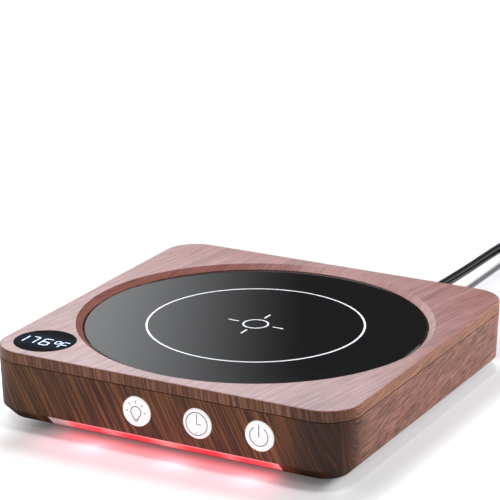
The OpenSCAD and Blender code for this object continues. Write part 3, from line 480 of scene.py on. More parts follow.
# %% The walnut material
def walnut(name, tones, top_sheen_tint, side_tint_and_sheen, shade_patch_depth, lean, contrast, runs,
           pore_length, pore_depth, roughness):
    """Walnut film from its dark, middle and light tone. Runs are the streaks' lengths along x and y."""
    tree = new_material(name)
    x, y, z = place_in_mm(tree)
    on_top, on_slope = facing_up(x)
    on_wall = 1 - on_top
    lane, on_side = wall_lane(x, y, z, lean)
    lane = swaying(lane + (top_lane(x, y) - lane) * on_top, x, y, z)
    grain = grain_maker(lane, x, y, z, runs)
    bands, streaks, lines, fibres = [grain(*layer) for layer in LAYERS.values()]
    value = layered(bands, streaks, lines, fibres, on_side, on_slope)
    # knot: the mask of the patch of painted shade at the near right corner.
    knot = near_shade_patch(x, y) * shade_patch_depth
    tone = value * contrast * (on_wall * WALL_GAIN + TOP_GAIN) + 0.5 - knot * SHADE_PATCH_DARK
    dark, middle, light = tones
    stops = [(0, dark), (0.5, middle), (1, light)]
    colour = tone.add("ShaderNodeValToRGB", {"stops": stops}, {0: clamp(tone, 0.0, 1.0)})
    # Painted sheen on the top and on the housing's sides, painted shade and sheen on the slope, painted
    # shade in the corner patch, and redder side strips on the cover.
    colour = tinted(colour, [
        (on_top, top_sheen_tint),
        (on_side * on_wall, side_tint_and_sheen),
        (on_slope * smooth(x, *SLOPE_LEFT), SLOPE_LEFT_SHADE),
        (on_slope * smooth(y, *SLOPE_BACK), SLOPE_BACK_SHEEN),
        (knot * on_wall, SHADE_PATCH_TINT),
    ])
    pores = smooth(grain(PORE_WIDTH, pore_length, 1), *PORE_EDGE) * smooth(streaks, *PORE_STREAKS)
    pores = pores * (1 - on_top * 0.5)
    hairs = smooth(lines, *HAIR_EDGE) * knot * on_wall
    sunk = clamp(pores * pore_depth + hairs * HAIR_DEPTH, 0.0, 1.0)
    finish(
        tree,
        base_color=blend(sunk, colour, tuple(channel * PORE_DARK for channel in dark)),
        roughness=fibres * 0.12 + roughness,
        normal=bump(fibres * FIBRE_RELIEF + (1 - pores), FILM_RELIEF),
    )


# %% Cover and housing
COVER_TONES = [(0.18, 0.064, 0.031), (0.32, 0.134, 0.063), (0.47, 0.225, 0.125)]
HOUSING_TONES = [(0.088, 0.028, 0.007), (0.20, 0.072, 0.017), (0.385, 0.155, 0.05)]
# The cover's top tint is a painted sheen that turns the top bluer, and its side tint makes the side strips
# redder.
walnut("walnut_cover", COVER_TONES, top_sheen_tint=(1.01, 1.06, 1.86), side_tint_and_sheen=(1.08, 0.95, 0.86),
       shade_patch_depth=0.5, lean=math.radians(8), contrast=1.3, runs=(50, 30),
       pore_length=0.22, pore_depth=0.65, roughness=0.24)
# The housing's side tint is a painted sheen that makes its side walls lighter and bluer.
walnut("walnut_housing", HOUSING_TONES, top_sheen_tint=(1, 1, 1), side_tint_and_sheen=(1.36, 1.42, 3.2),
       shade_patch_depth=1.0, lean=math.radians(25), contrast=1.25, runs=(60, 13),
       pore_length=0.45, pore_depth=0.9, roughness=0.34)
print("wood finishes:", list(materials))

# %% [markdown]
# ## Black glass
#
# The plate is heat-proof glass, black right through and polished. It has almost no colour of its own:
# what is seen is the room in it. A faint haze of wipe marks in the roughness keeps it from looking like
# a hole. The display window is smoked acrylic with the soft blue halo that lit digits leave in the
# plastic round them. Its index is set low, because a strong mirror image would hide the digits.


# %% Glass and display window
def black_glass():
    """Polished black with faint wipe marks."""
    tree = new_material("black_glass")
    x, y, z = place_in_mm(tree)
    wipes = noise(join(x * 0.03 + y * 0.02, y * 0.15, z), detail=4, distortion=1.5)
    finish(
        tree,
        base_color=blend(wipes, (0.0035, 0.0035, 0.004), (0.006, 0.006, 0.0065)),
        roughness=wipes * 0.02 + 0.015,
        ior=1.5,
    )


window_low, window_high = node_box("display_window")
DISPLAY_MID = (window_low + window_high) / 2
HALO_HALF = (7.4, 2.6)
HALO_REACH = 4.4
FAR = 500.0


def apart(value, middle):
    """How far a wire is from a value, to either side."""
    return value.math("ABSOLUTE", value - middle)


def outside(value, middle, half):
    """How far a wire is outside a span that reaches half to each side of its middle, or 0 inside."""
    return clamp(apart(value, middle) - half, 0.0, FAR)


def smoked_window():
    """Smoked acrylic with the halo of the lit digits."""
    tree = new_material("smoked_window")
    x, y, z = place_in_mm(tree)
    off_x = outside(x, DISPLAY_MID.x, HALO_HALF[0])
    off_y = outside(y, DISPLAY_MID.y, HALO_HALF[1])
    halo = 1 - smooth(length_of(off_x, off_y), 0.0, HALO_REACH)
    specks = noise(join(x, y, z), scale=0.4, detail=3)
    finish(
        tree,
        base_color=blend(specks, (0.004, 0.004, 0.005), (0.007, 0.007, 0.008)),
        roughness=specks * 0.04 + 0.05,
        ior=1.03,
        emission_color=blend(halo, (0.0, 0.0, 0.0), (0.006, 0.012, 0.026)),
        emission_strength=1.0,
    )


black_glass()
smoked_window()
print("the display's middle is at", round(DISPLAY_MID.x, 1), round(DISPLAY_MID.y, 1))


# %% [markdown]
# ## Moulded plastics, rubber and paint
#
# Most small pieces are moulded. A mould is spark-eroded or sanded, so the plastic has a fine even grain,
# and its colour drifts a little where the melt flowed. One function covers them all: it takes the colour,
# the gloss, the size of the grain and how deep the grain is. The wires, the fuse, the capacitors' cans
# and the small lamps share it. The button caps glow softly: painted light that keeps their white bright
# in the shade of the front.


# %% Moulded pieces
def moulded(name, colour, roughness, grain=0.5, depth=0.01, drift=0.12, **fixed):
    """A moulded or painted finish: grain is the width of its texture and depth its relief, in mm."""
    tree = new_material(name)
    x, y, z = place_in_mm(tree)
    where = join(x, y, z)
    pits = noise(where, scale=1 / grain, detail=2)
    flow = noise(where, scale=0.08, detail=3)
    deep = tuple(channel * (1 - drift) for channel in colour)
    pale = tuple(min(channel * (1 + drift), 1) for channel in colour)
    finish(
        tree,
        base_color=blend(flow * 0.7 + pits * 0.3, deep, pale),
        roughness=pits * 0.12 + (roughness - 0.06),
        normal=bump(pits, depth),
        **fixed,
    )


moulded("black_plastic", (0.03, 0.03, 0.03), 0.55, grain=0.35, depth=0.03)
moulded("black_rubber", (0.007, 0.007, 0.0075), 0.22, grain=0.8, depth=0.004)
moulded("dark_nylon", (0.05, 0.05, 0.055), 0.45)
moulded("digit_block", (0.02, 0.02, 0.025), 0.3)
moulded("black_component", (0.02, 0.02, 0.022), 0.5, grain=0.2)
moulded("ivory_nylon", (0.82, 0.78, 0.68), 0.4, drift=0.04)
moulded("white_nylon", (0.85, 0.85, 0.84), 0.4, drift=0.03)
moulded("white_board", (0.8, 0.8, 0.78), 0.35, drift=0.03)
moulded("red_wire", (0.5, 0.04, 0.03), 0.38, depth=0.006)
moulded("blue_wire", (0.05, 0.15, 0.45), 0.38, depth=0.006)
moulded("grey_wire", (0.35, 0.36, 0.38), 0.42, depth=0.006)
moulded("fuse_ceramic", (0.78, 0.74, 0.62), 0.25, drift=0.05, coat_weight=0.4)
moulded("capacitor_can", (0.2, 0.28, 0.42), 0.35, metallic=0.5)
moulded("lamp", (0.9, 0.8, 0.45), 0.2, emission_color=(1.0, 0.25, 0.2), emission_strength=0.8)
# The caps' glow is painted light that keeps their white bright in the shaded front.
moulded("white_cap", (0.86, 0.86, 0.86), 0.28, grain=0.9, depth=0.004, drift=0.02,
        emission_color=(0.98, 0.99, 1.0), emission_strength=0.62)
print("finishes so far:", len(materials))


# %% [markdown]
# ## Metals, felt, film and boards
#
# Sheet metal shows the direction it was rolled or brushed in: noise that is very long one way. The felt
# pad is a cloud of fibres, the heating film is smooth and amber under a clear coat, and a circuit board
# has copper tracks that show through green lacquer.


# %% Metals
def brushed(name, colour, roughness, width=0.12, length=6.0, depth=0.01):
    """Metal with fine scratches along x, of so many millimetres wide and long."""
    tree = new_material(name)
    x, y, z = place_in_mm(tree)
    scratches = noise(join(x / length, y / width, z / width), detail=3)
    worn = noise(join(x, y, z), scale=0.15, detail=2)
    deep = tuple(channel * 0.85 for channel in colour)
    finish(
        tree,
        base_color=blend(worn * 0.5 + scratches * 0.5, deep, colour),
        roughness=scratches * 0.16 + (roughness - 0.08),
        metallic=1.0,
        normal=bump(scratches, depth),
    )


brushed("aluminium", (0.72, 0.73, 0.74), 0.42)
brushed("steel", (0.62, 0.63, 0.64), 0.34)
brushed("zinc_steel", (0.55, 0.56, 0.57), 0.38, length=1.5)
brushed("brass", (0.72, 0.52, 0.24), 0.3, length=1.0)
print("finishes so far:", len(materials))


# %% Felt, heating film, boards and braid
FIBRE_LENGTH = 3
TRACK_WANDER = 9
TRACK_EDGE = (0.3, 0.36)


def fibrous(name, colour, thickness=0.12, depth=0.15):
    """Felt or braid: a tangle of short fibres in two crossing directions."""
    tree = new_material(name)
    x, y, z = place_in_mm(tree)
    rising, falling, deeper = (x + y) / thickness, (x - y) / thickness, z / thickness
    first = noise(join(rising, (x - y) / FIBRE_LENGTH, deeper), detail=3, distortion=0.8)
    second = noise(join(falling, (x + y) / FIBRE_LENGTH, deeper), detail=3, distortion=0.8)
    fibres = first.math("MAXIMUM", first, second)
    deep = tuple(channel * 0.6 for channel in colour)
    finish(
        tree,
        base_color=blend(smooth(fibres, 0.35, 0.75), deep, colour),
        roughness=0.92,
        normal=bump(fibres, depth),
    )


def lacquered_board(name, lacquer, copper, pitch=1.4):
    """A circuit board: copper tracks on a grid that wanders, under coloured lacquer."""
    tree = new_material(name)
    x, y, z = place_in_mm(tree)
    shift = noise(join(x * 0.12, y * 0.12, z), detail=0)
    across = shift.math("PINGPONG", (x + shift * TRACK_WANDER) / pitch, 0.5)
    along = shift.math("PINGPONG", (y + shift * TRACK_WANDER) / pitch, 0.5)
    turn = shift.math("GREATER_THAN", shift, 0.5)
    tracks = smooth(across + (along - across) * turn, *TRACK_EDGE)
    finish(tree, base_color=blend(tracks, lacquer, copper), roughness=0.3, normal=bump(tracks, 0.03))


fibrous("mineral_pad", (0.86, 0.83, 0.76))
fibrous("glass_sleeve", (0.8, 0.78, 0.72), thickness=0.3)
lacquered_board("circuit_board", (0.025, 0.15, 0.07), (0.05, 0.24, 0.11))
moulded("amber_film", (0.55, 0.26, 0.06), 0.22, grain=2.0, coat_weight=0.6)
print("finishes so far:", len(materials))


# %% [markdown]
# ## The light bar
#
# A strip of frosted acrylic lies in the sloping foot of the front wall, with three red lamps behind it.
# It could be a flat glowing red, but frost only blurs a lamp: the strip is paler in front of each lamp
# and its far left end stays dark. A colour ramp along x holds those patches. Up the strip the glow fades
# at the foot and gets paler along the top edge. The colours vary, and the strength of the glow stays 1.

# %% Frosted bar with three lamps behind it
BAR_HALF = 42.0
BAR_PATCHES = [
    (-42.0, (0.22, 0.18, 0.18)),
    (-35.6, (0.30, 0.17, 0.17)),
    (-33.6, (0.85, 0.09, 0.11)),
    (-24.0, (0.80, 0.025, 0.035)),
    (-19.0, (0.92, 0.18, 0.20)),
    (-13.0, (0.76, 0.02, 0.03)),
    (-5.0, (0.80, 0.04, 0.05)),
    (1.5, (0.95, 0.26, 0.27)),
    (9.0, (0.80, 0.02, 0.03)),
    (20.0, (0.80, 0.015, 0.025)),
    (24.5, (0.92, 0.16, 0.18)),
    (29.0, (0.80, 0.02, 0.03)),
    (38.0, (0.85, 0.05, 0.06)),
    (42.0, (0.80, 0.22, 0.25)),
]
BAR_LIT = (-36.0, -33.0)
BAR_FOOT, FOOT_GLOW = (1.1, 2.1), (0.18, 0.015, 0.03)
BAR_EDGE, EDGE_GLOW, EDGE_SHARE = (4.0, 4.6), (1.0, 0.42, 0.44), 0.6


def frosted_bar():
    """Frosted acrylic with the patches of light of the lamps behind it."""
    tree = new_material("frosted_bar")
    x, y, z = place_in_mm(tree)
    place = (x + BAR_HALF) / (2 * BAR_HALF)
    stops = [((at + BAR_HALF) / (2 * BAR_HALF), colour) for at, colour in BAR_PATCHES]
    glow = place.add("ShaderNodeValToRGB", {"stops": stops}, {0: place})
    glow = blend(smooth(z, *BAR_FOOT), FOOT_GLOW, glow)
    lit = smooth(x, *BAR_LIT)
    glow = blend(smooth(z, *BAR_EDGE) * lit * EDGE_SHARE, glow, EDGE_GLOW)
    frost = noise(join(x, y, z), scale=2.2, detail=3)
    unlit = blend(frost, (0.6, 0.54, 0.55), (0.68, 0.62, 0.63))
    finish(
        tree,
        base_color=blend(lit, unlit, (0.33, 0.14, 0.14)),
        roughness=frost * 0.15 + 0.4,
        emission_color=glow,
        emission_strength=1.0,
        normal=bump(frost, 0.02),
    )


frosted_bar()
print("stops along the bar:", len(BAR_PATCHES))

# %% [markdown]
# ## Giving each node its finish
#
# The record says which material slot each node has. Every slot now has a finish of the same name, so one
# loop dresses the whole assembly, also the pieces that only show when the warmer is opened.

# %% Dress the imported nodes
for part in frame["record"]["subparts"]:
    mesh = frame["nodes"][part["node"]].data
    mesh.materials.clear()
    mesh.materials.append(materials[part["material_slot"]])
power_cord.data.materials.append(materials["black_rubber"])

# %% [markdown]
# ## Printed and lit lines
#
# The ring on the glass, the marks on the buttons and the bars of the digits are all the same thing: a
# line of a set width. They could be modelled one by one, or drawn as a texture that blurs close up. Here
# each drawing is a bare skeleton of edges, and one Geometry Nodes tree turns any skeleton into flat
# strips. The result is baked into a plain mesh.


# %% A tree that turns edges into strips
def lines_tree():
    """Geometry Nodes: edges in, strips of a set width and thickness out, with a material."""
    tree = bpy.data.node_groups.new("lines", "GeometryNodeTree")
    sockets = [("Skeleton", "Geometry"), ("Width", "Float"), ("Thickness", "Float"), ("Ink", "Material")]
    for name, kind in sockets:
        tree.interface.new_socket(name=name, in_out="INPUT", socket_type="NodeSocket" + kind)
    tree.interface.new_socket(name="Strips", in_out="OUTPUT", socket_type="NodeSocketGeometry")
    given = Wire(tree).add("NodeGroupInput", output="Skeleton")
    curve = given.add("GeometryNodeMeshToCurve", inputs={"Mesh": given})
    curve = curve.add("GeometryNodeSetCurveNormal", {"mode": "Z_UP"}, {"Curve": curve})
    size = {"Width": given.out("Width"), "Height": given.out("Thickness")}
    profile = curve.add("GeometryNodeCurvePrimitiveQuadrilateral", inputs=size)
    swept = {"Curve": curve, "Profile Curve": profile, "Fill Caps": True}
    strips = curve.add("GeometryNodeCurveToMesh", inputs=swept)
    strips = strips.add("GeometryNodeRealizeInstances", inputs={"Geometry": strips})
    strips = strips.add("GeometryNodeSetShadeSmooth", inputs={0: strips, "Shade Smooth": False})
    inked = {"Geometry": strips, "Material": given.out("Ink")}
    strips = strips.add("GeometryNodeSetMaterial", inputs=inked)
    strips.add("NodeGroupOutput", inputs={"Strips": strips})
    return tree


LINES = lines_tree()
print("nodes in the lines tree:", len(LINES.nodes))


# %% Run a tree and keep its mesh
def run_tree(name, mesh, tree, **inputs):
    """Runs a tree on a mesh with its inputs set by their sockets' identifiers, and bakes the result."""
    source = bpy.data.objects.new(name + "_source", mesh)
    bpy.context.scene.collection.objects.link(source)
    modifier = source.modifiers.new("tree", "NODES")
    modifier.node_group = tree
    sockets = {item.name: item.identifier for item in tree.interface.items_tree if item.in_out == "INPUT"}
    for word, value in inputs.items():
        modifier[sockets[word.title()]] = value
    evaluated = source.evaluated_get(bpy.context.evaluated_depsgraph_get())
    baked = bpy.data.meshes.new_from_object(evaluated)
    source.modifiers.remove(modifier)
    bpy.data.objects.remove(source)
    baked.name = name
    piece = bpy.data.objects.new(name, baked)
    bpy.context.scene.collection.objects.link(piece)
    return piece


# %% [markdown]
# A drawing is a list of strokes, and a stroke is a list of points. An arc is worked out from its angles,
# and a stroke that ends where it began is closed. Each drawing is laid on its piece and rides on that
# piece's body, so it moves along.


# %% Strokes and drawings
def skeleton(strokes):
    """A mesh of bare edges from strokes, each a list of points in the plane, in millimetres."""
    points, edges = [], []
    for stroke in strokes:
        closed = stroke[0] == stroke[-1]
        first = len(points)
        body = stroke[:-1] if closed else stroke
        points += [mm(*point, 0) for point in body]
        edges += [(first + step, first + step + 1) for step in range(len(body) - 1)]
        if closed:
            edges.append((first + len(body) - 1, first))
    mesh = bpy.data.meshes.new("skeleton")
    mesh.from_pydata(points, edges, [])
    return mesh


def arc(middle, radius, start=0, end=360, steps=48):
    """Points along an arc from one angle to another; a full turn closes on its first point."""
    points = []
    for step in range(steps + 1):
        angle = math.radians(start + (end - start) * step / steps)
        points.append((middle[0] + radius * math.cos(angle), middle[1] + radius * math.sin(angle)))
    if end - start == 360:
        points[-1] = points[0]
    return points


def draw(name, strokes, width, ink, body, place, thickness=0.06):
    """Draws strokes in the XY plane as strips, lays them at their place and lets them ride on a body."""
    inputs = {"width": width * MM, "thickness": thickness * MM, "ink": materials[ink]}
    piece = run_tree(name, skeleton(strokes), LINES, **inputs)
    piece.data.transform(place)
    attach(piece, body)
    print(name, len(piece.data.polygons), "faces")


# %% [markdown]
# The print on the glass is white enamel, a few hundredths of a millimetre thick. A ring shows where the
# mug stands, and a small plain target marks the middle: a ring with four ticks.

# %% The print on the glass
moulded("white_enamel", (0.82, 0.82, 0.83), 0.35, grain=0.4, depth=0.006, drift=0.03)
PRINT_LIFT = 0.02
ON_GLASS = Matrix.Translation(mm(0, 0, glass_high.z + PRINT_LIFT))
RING_MID_R = 36.57
RING_WIDTH = 0.7
MARK_R = 4.2
TICK_FROM = 6.4
TICK_TO = 10.4
MARK_WIDTH = 0.6

draw("mug_ring", [arc((0, 0), RING_MID_R, steps=144)], RING_WIDTH, "white_enamel", "base", ON_GLASS)
target = [arc((0, 0), MARK_R)]
for quarter in range(4):
    turn = math.radians(90 * quarter)
    target.append([(reach * math.cos(turn), reach * math.sin(turn)) for reach in (TICK_FROM, TICK_TO)])
draw("centre_mark", target, MARK_WIDTH, "white_enamel", "base", ON_GLASS)

# %% [markdown]
# The display shows a temperature in seven-segment figures. Each figure is a choice of seven bars on one
# grid, so a table of which bars are lit says it all. The bars lie on the window and glow blue-white. The
# readout and the smaller unit are rows of figures, each with its left edge and its width.

# %% Seven-segment figures
SEGMENTS = {
    "a": ((0, 1), (1, 1)), "b": ((1, 1), (1, 0.5)), "c": ((1, 0.5), (1, 0)), "d": ((0, 0), (1, 0)),
    "e": ((0, 0), (0, 0.5)), "f": ((0, 0.5), (0, 1)), "g": ((0, 0.5), (1, 0.5)),
}
FIGURES = {"1": "bc", "7": "abc", "6": "acdefg", "degree": "abfg", "F": "aefg"}
READOUT = [("1", -60.2, 2.5), ("7", -56.1, 2.5), ("6", -51.4, 2.9)]
READOUT_LOW, READOUT_H, READOUT_BAR = -54.5, 5.5, 0.5
UNIT = [("degree", -46.9, 1.7), ("F", -44.4, 2.4)]
UNIT_LOW, UNIT_H, UNIT_BAR = -54.2, 4.9, 0.42
BAR_GAP = 0.2


def figure(name, left, bottom, width, height):
    """The lit bars of one figure, as strokes with a small gap at each end."""
    strokes = []
    for letter in FIGURES[name]:
        (ax, ay), (bx, by) = SEGMENTS[letter]
        start = Vector((left + ax * width, bottom + ay * height))
        stop = Vector((left + bx * width, bottom + by * height))
        inset = (stop - start).normalized() * BAR_GAP
        strokes.append([tuple(start + inset), tuple(stop - inset)])
    return strokes


def row_of_figures(row, bottom, height):
    """The lit bars of all figures in a row."""
    return [bar for name, left, width in row for bar in figure(name, left, bottom, width, height)]


def lit_ink(name, colour, strength):
    """A plain glow with a trace of unevenness."""
    tree = new_material(name)
    x, y, z = place_in_mm(tree)
    grain = noise(join(x, y, z), scale=1.5, detail=2)
    edge = tuple(channel * 0.8 for channel in colour)
    finish(tree, base_color=(0.5, 0.55, 0.6), roughness=0.4,
           emission_color=blend(grain, edge, colour), emission_strength=strength)


lit_ink("digit_glow", (0.56, 0.68, 1.0), 1.0)
ON_WINDOW = Matrix.Translation(mm(0, 0, window_high.z + PRINT_LIFT))
readout = row_of_figures(READOUT, READOUT_LOW, READOUT_H)
draw("display_figures", readout, READOUT_BAR, "digit_glow", "base", ON_WINDOW)
unit = row_of_figures(UNIT, UNIT_LOW, UNIT_H)
draw("display_units", unit, UNIT_BAR, "digit_glow", "base", ON_WINDOW)

# %% [markdown]
# Each button carries a grey line drawing: a bulb for the light, a clock for the timer and the usual
# broken ring for power. They are drawn flat and then stood up against the button's face, and they ride
# on the button, so that they go in with it.

# %% The marks on the buttons
moulded("grey_ink", (0.46, 0.48, 0.51), 0.5, grain=0.4, depth=0.004)
INK_WIDTH = 0.34


def mark_button(name, strokes, button):
    """Draws strokes in grey and stands them up against the front face of a button."""
    low, high = node_box(button)
    face = mm((low.x + high.x) / 2, low.y - PRINT_LIFT, (low.z + high.z) / 2)
    place = Matrix.Translation(face) @ Matrix.Rotation(math.radians(90), 4, "X")
    draw(name, strokes, INK_WIDTH, "grey_ink", button + "_body", place)


def rays(count, start, end, inner, outer):
    """Short radial strokes, spread evenly between two angles."""
    strokes = []
    for step in range(count):
        angle = math.radians(start + (end - start) * step / (count - 1))
        strokes.append([(reach * math.cos(angle), reach * math.sin(angle)) for reach in (inner, outer)])
    return strokes


bulb = [arc((0, -0.1), 1.85, -52, 232, 32)]
bulb += [[(-1.14, -1.56), (-0.75, -2.6)], [(1.14, -1.56), (0.75, -2.6)]]
bulb += [[(-0.75, -2.6), (0.75, -2.6)], [(-0.6, -3.15), (0.6, -3.15)]]
bulb += rays(5, 0, 180, 2.9, 3.7)
mark_button("bulb_mark", bulb, "light_button")

clock = [arc((0, 0), 3.8), [(0, 3.3), (0, 0), (1.5, -0.2)], [(0, -3.2), (0, -2.7)]]
mark_button("clock_mark", clock, "timer_button")

power = [arc((0, 0), 3.2, -235, 55, 40), [(0, 3.9), (0, -0.3)]]
mark_button("power_mark", power, "power_button")

# %% [markdown]
# ## The tie
#
# A short strap holds the coil. It is a rounded loop round the section of the coil, so it is made as the
# outline of that section, given a width, and turned into place. Solidify gives the band its thickness
# and a small bevel softens its edges.

# %% A strap round the coil
STRAP_W = 8.0
STRAP_T = 0.5
STRAP_ROOM = 0.4
STRAP_LIFT = 0.3
STRAP_CORNER = 1.6
STRAP_SOFT = 0.12
STRAP_ANGLE = math.radians(100)


def strap_section():
    """The rounded rectangle round the coil's section: points across the coil and up."""
    innermost = COIL_OUTER - (COIL_RINGS - 1) * COIL_PITCH
    inner = innermost - CORD_D / 2 - STRAP_ROOM + STRAP_CORNER
    outer = COIL_OUTER + CORD_D / 2 + STRAP_ROOM - STRAP_CORNER
    low = STRAP_LIFT + STRAP_CORNER
    high = COIL_TOP + CORD_D / 2 + STRAP_LIFT - STRAP_CORNER
    outline = []
    for across, up, start in [(outer, high, 0), (inner, high, 90), (inner, low, 180), (outer, low, 270)]:
        outline += arc((across, up), STRAP_CORNER, start, start + 90, 6)
    return outline


def strap(outline):
    """A closed band: the outline, drawn out along the coil."""
    outward = Vector((math.cos(STRAP_ANGLE), math.sin(STRAP_ANGLE), 0))
    onward = Vector((-math.sin(STRAP_ANGLE), math.cos(STRAP_ANGLE), 0))
    points, faces = [], []
    for side in (-STRAP_W / 2, STRAP_W / 2):
        for across, up in outline:
            points.append((Vector((*COIL_MID, up)) + outward * across + onward * side) * MM)
    count = len(outline)
    for step in range(count):
        after = (step + 1) % count
        faces.append((step, after, after + count, step + count))
    mesh = bpy.data.meshes.new("cord_strap")
    mesh.from_pydata(points, [], faces)
    band = bpy.data.objects.new("cord_strap", mesh)
    bpy.context.scene.collection.objects.link(band)
    thick = band.modifiers.new("thick", "SOLIDIFY")
    thick.thickness = STRAP_T * MM
    thick.offset = 0
    soft = band.modifiers.new("soft", "BEVEL")
    soft.width = STRAP_SOFT * MM
    soft.segments = 2
    return band


fibrous("strap_weave", (0.03, 0.03, 0.032), thickness=0.35, depth=0.1)
cord_strap = strap(strap_section())
cord_strap.data.materials.append(materials["strap_weave"])
print("faces of the strap before its modifiers:", len(cord_strap.data.polygons))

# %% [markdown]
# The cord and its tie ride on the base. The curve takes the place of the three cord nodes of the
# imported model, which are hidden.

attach(power_cord, "base")
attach(cord_strap, "base")
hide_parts("cord", "cord_coil", "cord_tail")

# %% [markdown]
# ## The floor
#
# The warmer stands on a white sweep. Light that bounces off it finds a plain grey. To the camera the
# same floor is lifted towards white by a glow, which is added to what the lamps do there, so the shadow
# and the red spill still show. The lift depends on the place. It grows in two ramps away from the case
# and once more far out, it is strongest at the left and weaker behind, and a patch at the right wall's
# foot keeps that shadow from getting black. Each ramp below is a start and an end in millimetres,
# followed by its lift.

# %% How much the floor is lifted
CASE_HALF = 65.0
SIDEWAYS = 1.35
NEAR_RAMP, NEAR_LIFT = (13.0, 25.0), 0.34
WIDE_RAMP, WIDE_LIFT = (26.0, 48.0), 0.3
FAR_RAMP, FAR_LIFT = (150.0, 600.0), 0.5
LEFT_RAMP, LEFT_LIFT = (-44.0, -62.0), 0.62
WALL_RAMP, WALL_LIFT = (61.0, 66.5), 0.09
RIGHT_RAMP, RIGHT_LIFT = (70.0, 78.0), 0.17
FOOT_FROM, FOOT_TO, FOOT_NEAR, FOOT_LIFT = (56.0, 61.0), (67.5, 62.5), (-72.0, -60.0), 0.32
BEHIND_RAMP, BEHIND_LOSS = (60.0, 70.0), 0.69
EVEN_LIFT = 0.10


def floor_lift(x, y):
    """How far the floor is lifted towards white for the camera, at a place in millimetres."""
    away = length_of(outside(x, 0, CASE_HALF) * SIDEWAYS, outside(y, 0, CASE_HALF))
    behind = smooth(y, *BEHIND_RAMP)
    foot = smooth(x, *FOOT_FROM) * smooth(x, *FOOT_TO) * smooth(y, *FOOT_NEAR) * FOOT_LIFT
    right = foot + smooth(x, *WALL_RAMP) * WALL_LIFT + smooth(x, *RIGHT_RAMP) * RIGHT_LIFT
    left = smooth(x, *LEFT_RAMP) * LEFT_LIFT
    ring = smooth(away, *NEAR_RAMP) * NEAR_LIFT + smooth(away, *WIDE_RAMP) * WIDE_LIFT
    lift = ring * (1 - behind * BEHIND_LOSS) + smooth(away, *FAR_RAMP) * FAR_LIFT
    return lift + (left + right) * (1 - behind) + EVEN_LIFT


# %% [markdown]
# Under the free stretch of the cord the lift is taken away and the grey is deeper: a painted shadow line
# that stands in for the thin contact shadow, which lamps this soft wash out.

# %% The shadow line under the cord
SHADE_WIDTH = (2.1, 0.6)
SHADE_START, SHADE_END = (66.0, 72.0), (188.0, 170.0)


def cord_shade(x, y):
    """1 on the line under the cord's free stretch, and 0 beside it."""
    off_cord = apart(x, CORD_ROUTE[0][0])
    return smooth(off_cord, *SHADE_WIDTH) * smooth(y, *SHADE_START) * smooth(y, *SHADE_END)


# %% The floor and its finish
FLOOR_RADIUS = 6.0
FLOOR_SIDES = 64
BOUNCE_GREY = (0.55, 0.55, 0.55)
SEEN_DEEP, SEEN_PALE = (0.52, 0.52, 0.52), (0.54, 0.54, 0.54)
SHADE_GREY = (0.22, 0.22, 0.225)


def white_floor():
    """A matt floor: plain grey to bounced light, and lifted towards white for the camera."""
    tree = new_material("white_floor")
    x, y, z = place_in_mm(tree)
    path = x.add("ShaderNodeLightPath", output="Is Camera Ray")
    bare = blend(noise(join(x, y, z), scale=0.05, detail=3), SEEN_DEEP, SEEN_PALE)
    shade = cord_shade(x, y)
    lift = floor_lift(x, y) * (1 - shade)
    finish(
        tree,
        base_color=blend(path, BOUNCE_GREY, blend(shade, bare, SHADE_GREY)),
        roughness=0.9,
        specular_ior_level=0.0,
        emission_color=blend(path * lift, (0.0, 0.0, 0.0), (1.0, 1.0, 1.0)),
        emission_strength=1.0,
    )


def sweep_floor():
    """A wide round sheet that the warmer stands on. Its radius is in metres."""
    angles = [math.tau * side / FLOOR_SIDES for side in range(FLOOR_SIDES)]
    rim = [(FLOOR_RADIUS * math.cos(angle), FLOOR_RADIUS * math.sin(angle), 0) for angle in angles]
    mesh = bpy.data.meshes.new("floor")
    mesh.from_pydata(rim, [], [tuple(range(FLOOR_SIDES))])
    floor = bpy.data.objects.new("floor", mesh)
    bpy.context.scene.collection.objects.link(floor)
    mesh.materials.append(materials["white_floor"])


white_floor()
sweep_floor()
print("the floor is", 2 * FLOOR_RADIUS, "m across")


# %% [markdown]
# ## The world
#
# The world is what smooth surfaces reflect, and a polished black plate shows it like a mirror. So glossy
# rays find a drawn studio in it: a light card low at the back left that ends in a soft edge, and a tent
# above it that gets darker towards the right. A small bright strip at the back right gives the cord its
# light stripe, and the room behind the camera is dim. Angles are in degrees, to the left of straight back
# and up from the horizon.

# %% What glossy rays find
DEGREES = 180 / math.pi
CARD_EDGE = (26.7, 33.9)
CARD_DARK, CARD_LIGHT = (0.05, 0.05, 0.052), (1.5, 1.53, 1.56)
TENT_START = (22.5, 32.0)
TENT_SPAN = (-10.0, 50.0)
TENT_DARK, TENT_LIGHT = (0.12, 0.14, 0.16), (1.0, 1.2, 1.4)
STRIP_LOW, STRIP_HIGH = (11.0, 17.0), (29.0, 23.0)
STRIP_RIGHT, STRIP_LEFT = (-33.0, -26.0), (-10.0, -17.0)
STRIP_LIGHT = (1.8, 1.8, 1.8)
ROOM_START, ROOM_DIM = (0.3, -0.1), (0.15, 0.15, 0.16)


def drawn_studio(x, y, z):
    """The colour that a glossy ray finds in a direction."""
    leftward = x.math("ARCTAN2", 0 - x, y) * DEGREES
    up = z.math("ARCSINE", z) * DEGREES
    card = blend(smooth(leftward, *CARD_EDGE), CARD_DARK, CARD_LIGHT)
    tent = blend(smooth(leftward, *TENT_SPAN), TENT_DARK, TENT_LIGHT)
    mirror = blend(smooth(up, *TENT_START), card, tent)
    strip = smooth(up, *STRIP_LOW) * smooth(up, *STRIP_HIGH)
    strip = strip * smooth(leftward, *STRIP_RIGHT) * smooth(leftward, *STRIP_LEFT)
    mirror = blend(strip, mirror, STRIP_LIGHT)
    return blend(smooth(y, *ROOM_START), mirror, ROOM_DIM)


# %% [markdown]
# All other rays find an even light, lighter from above and dim from the near right, which leaves the
# front in shade. The camera itself sees white.

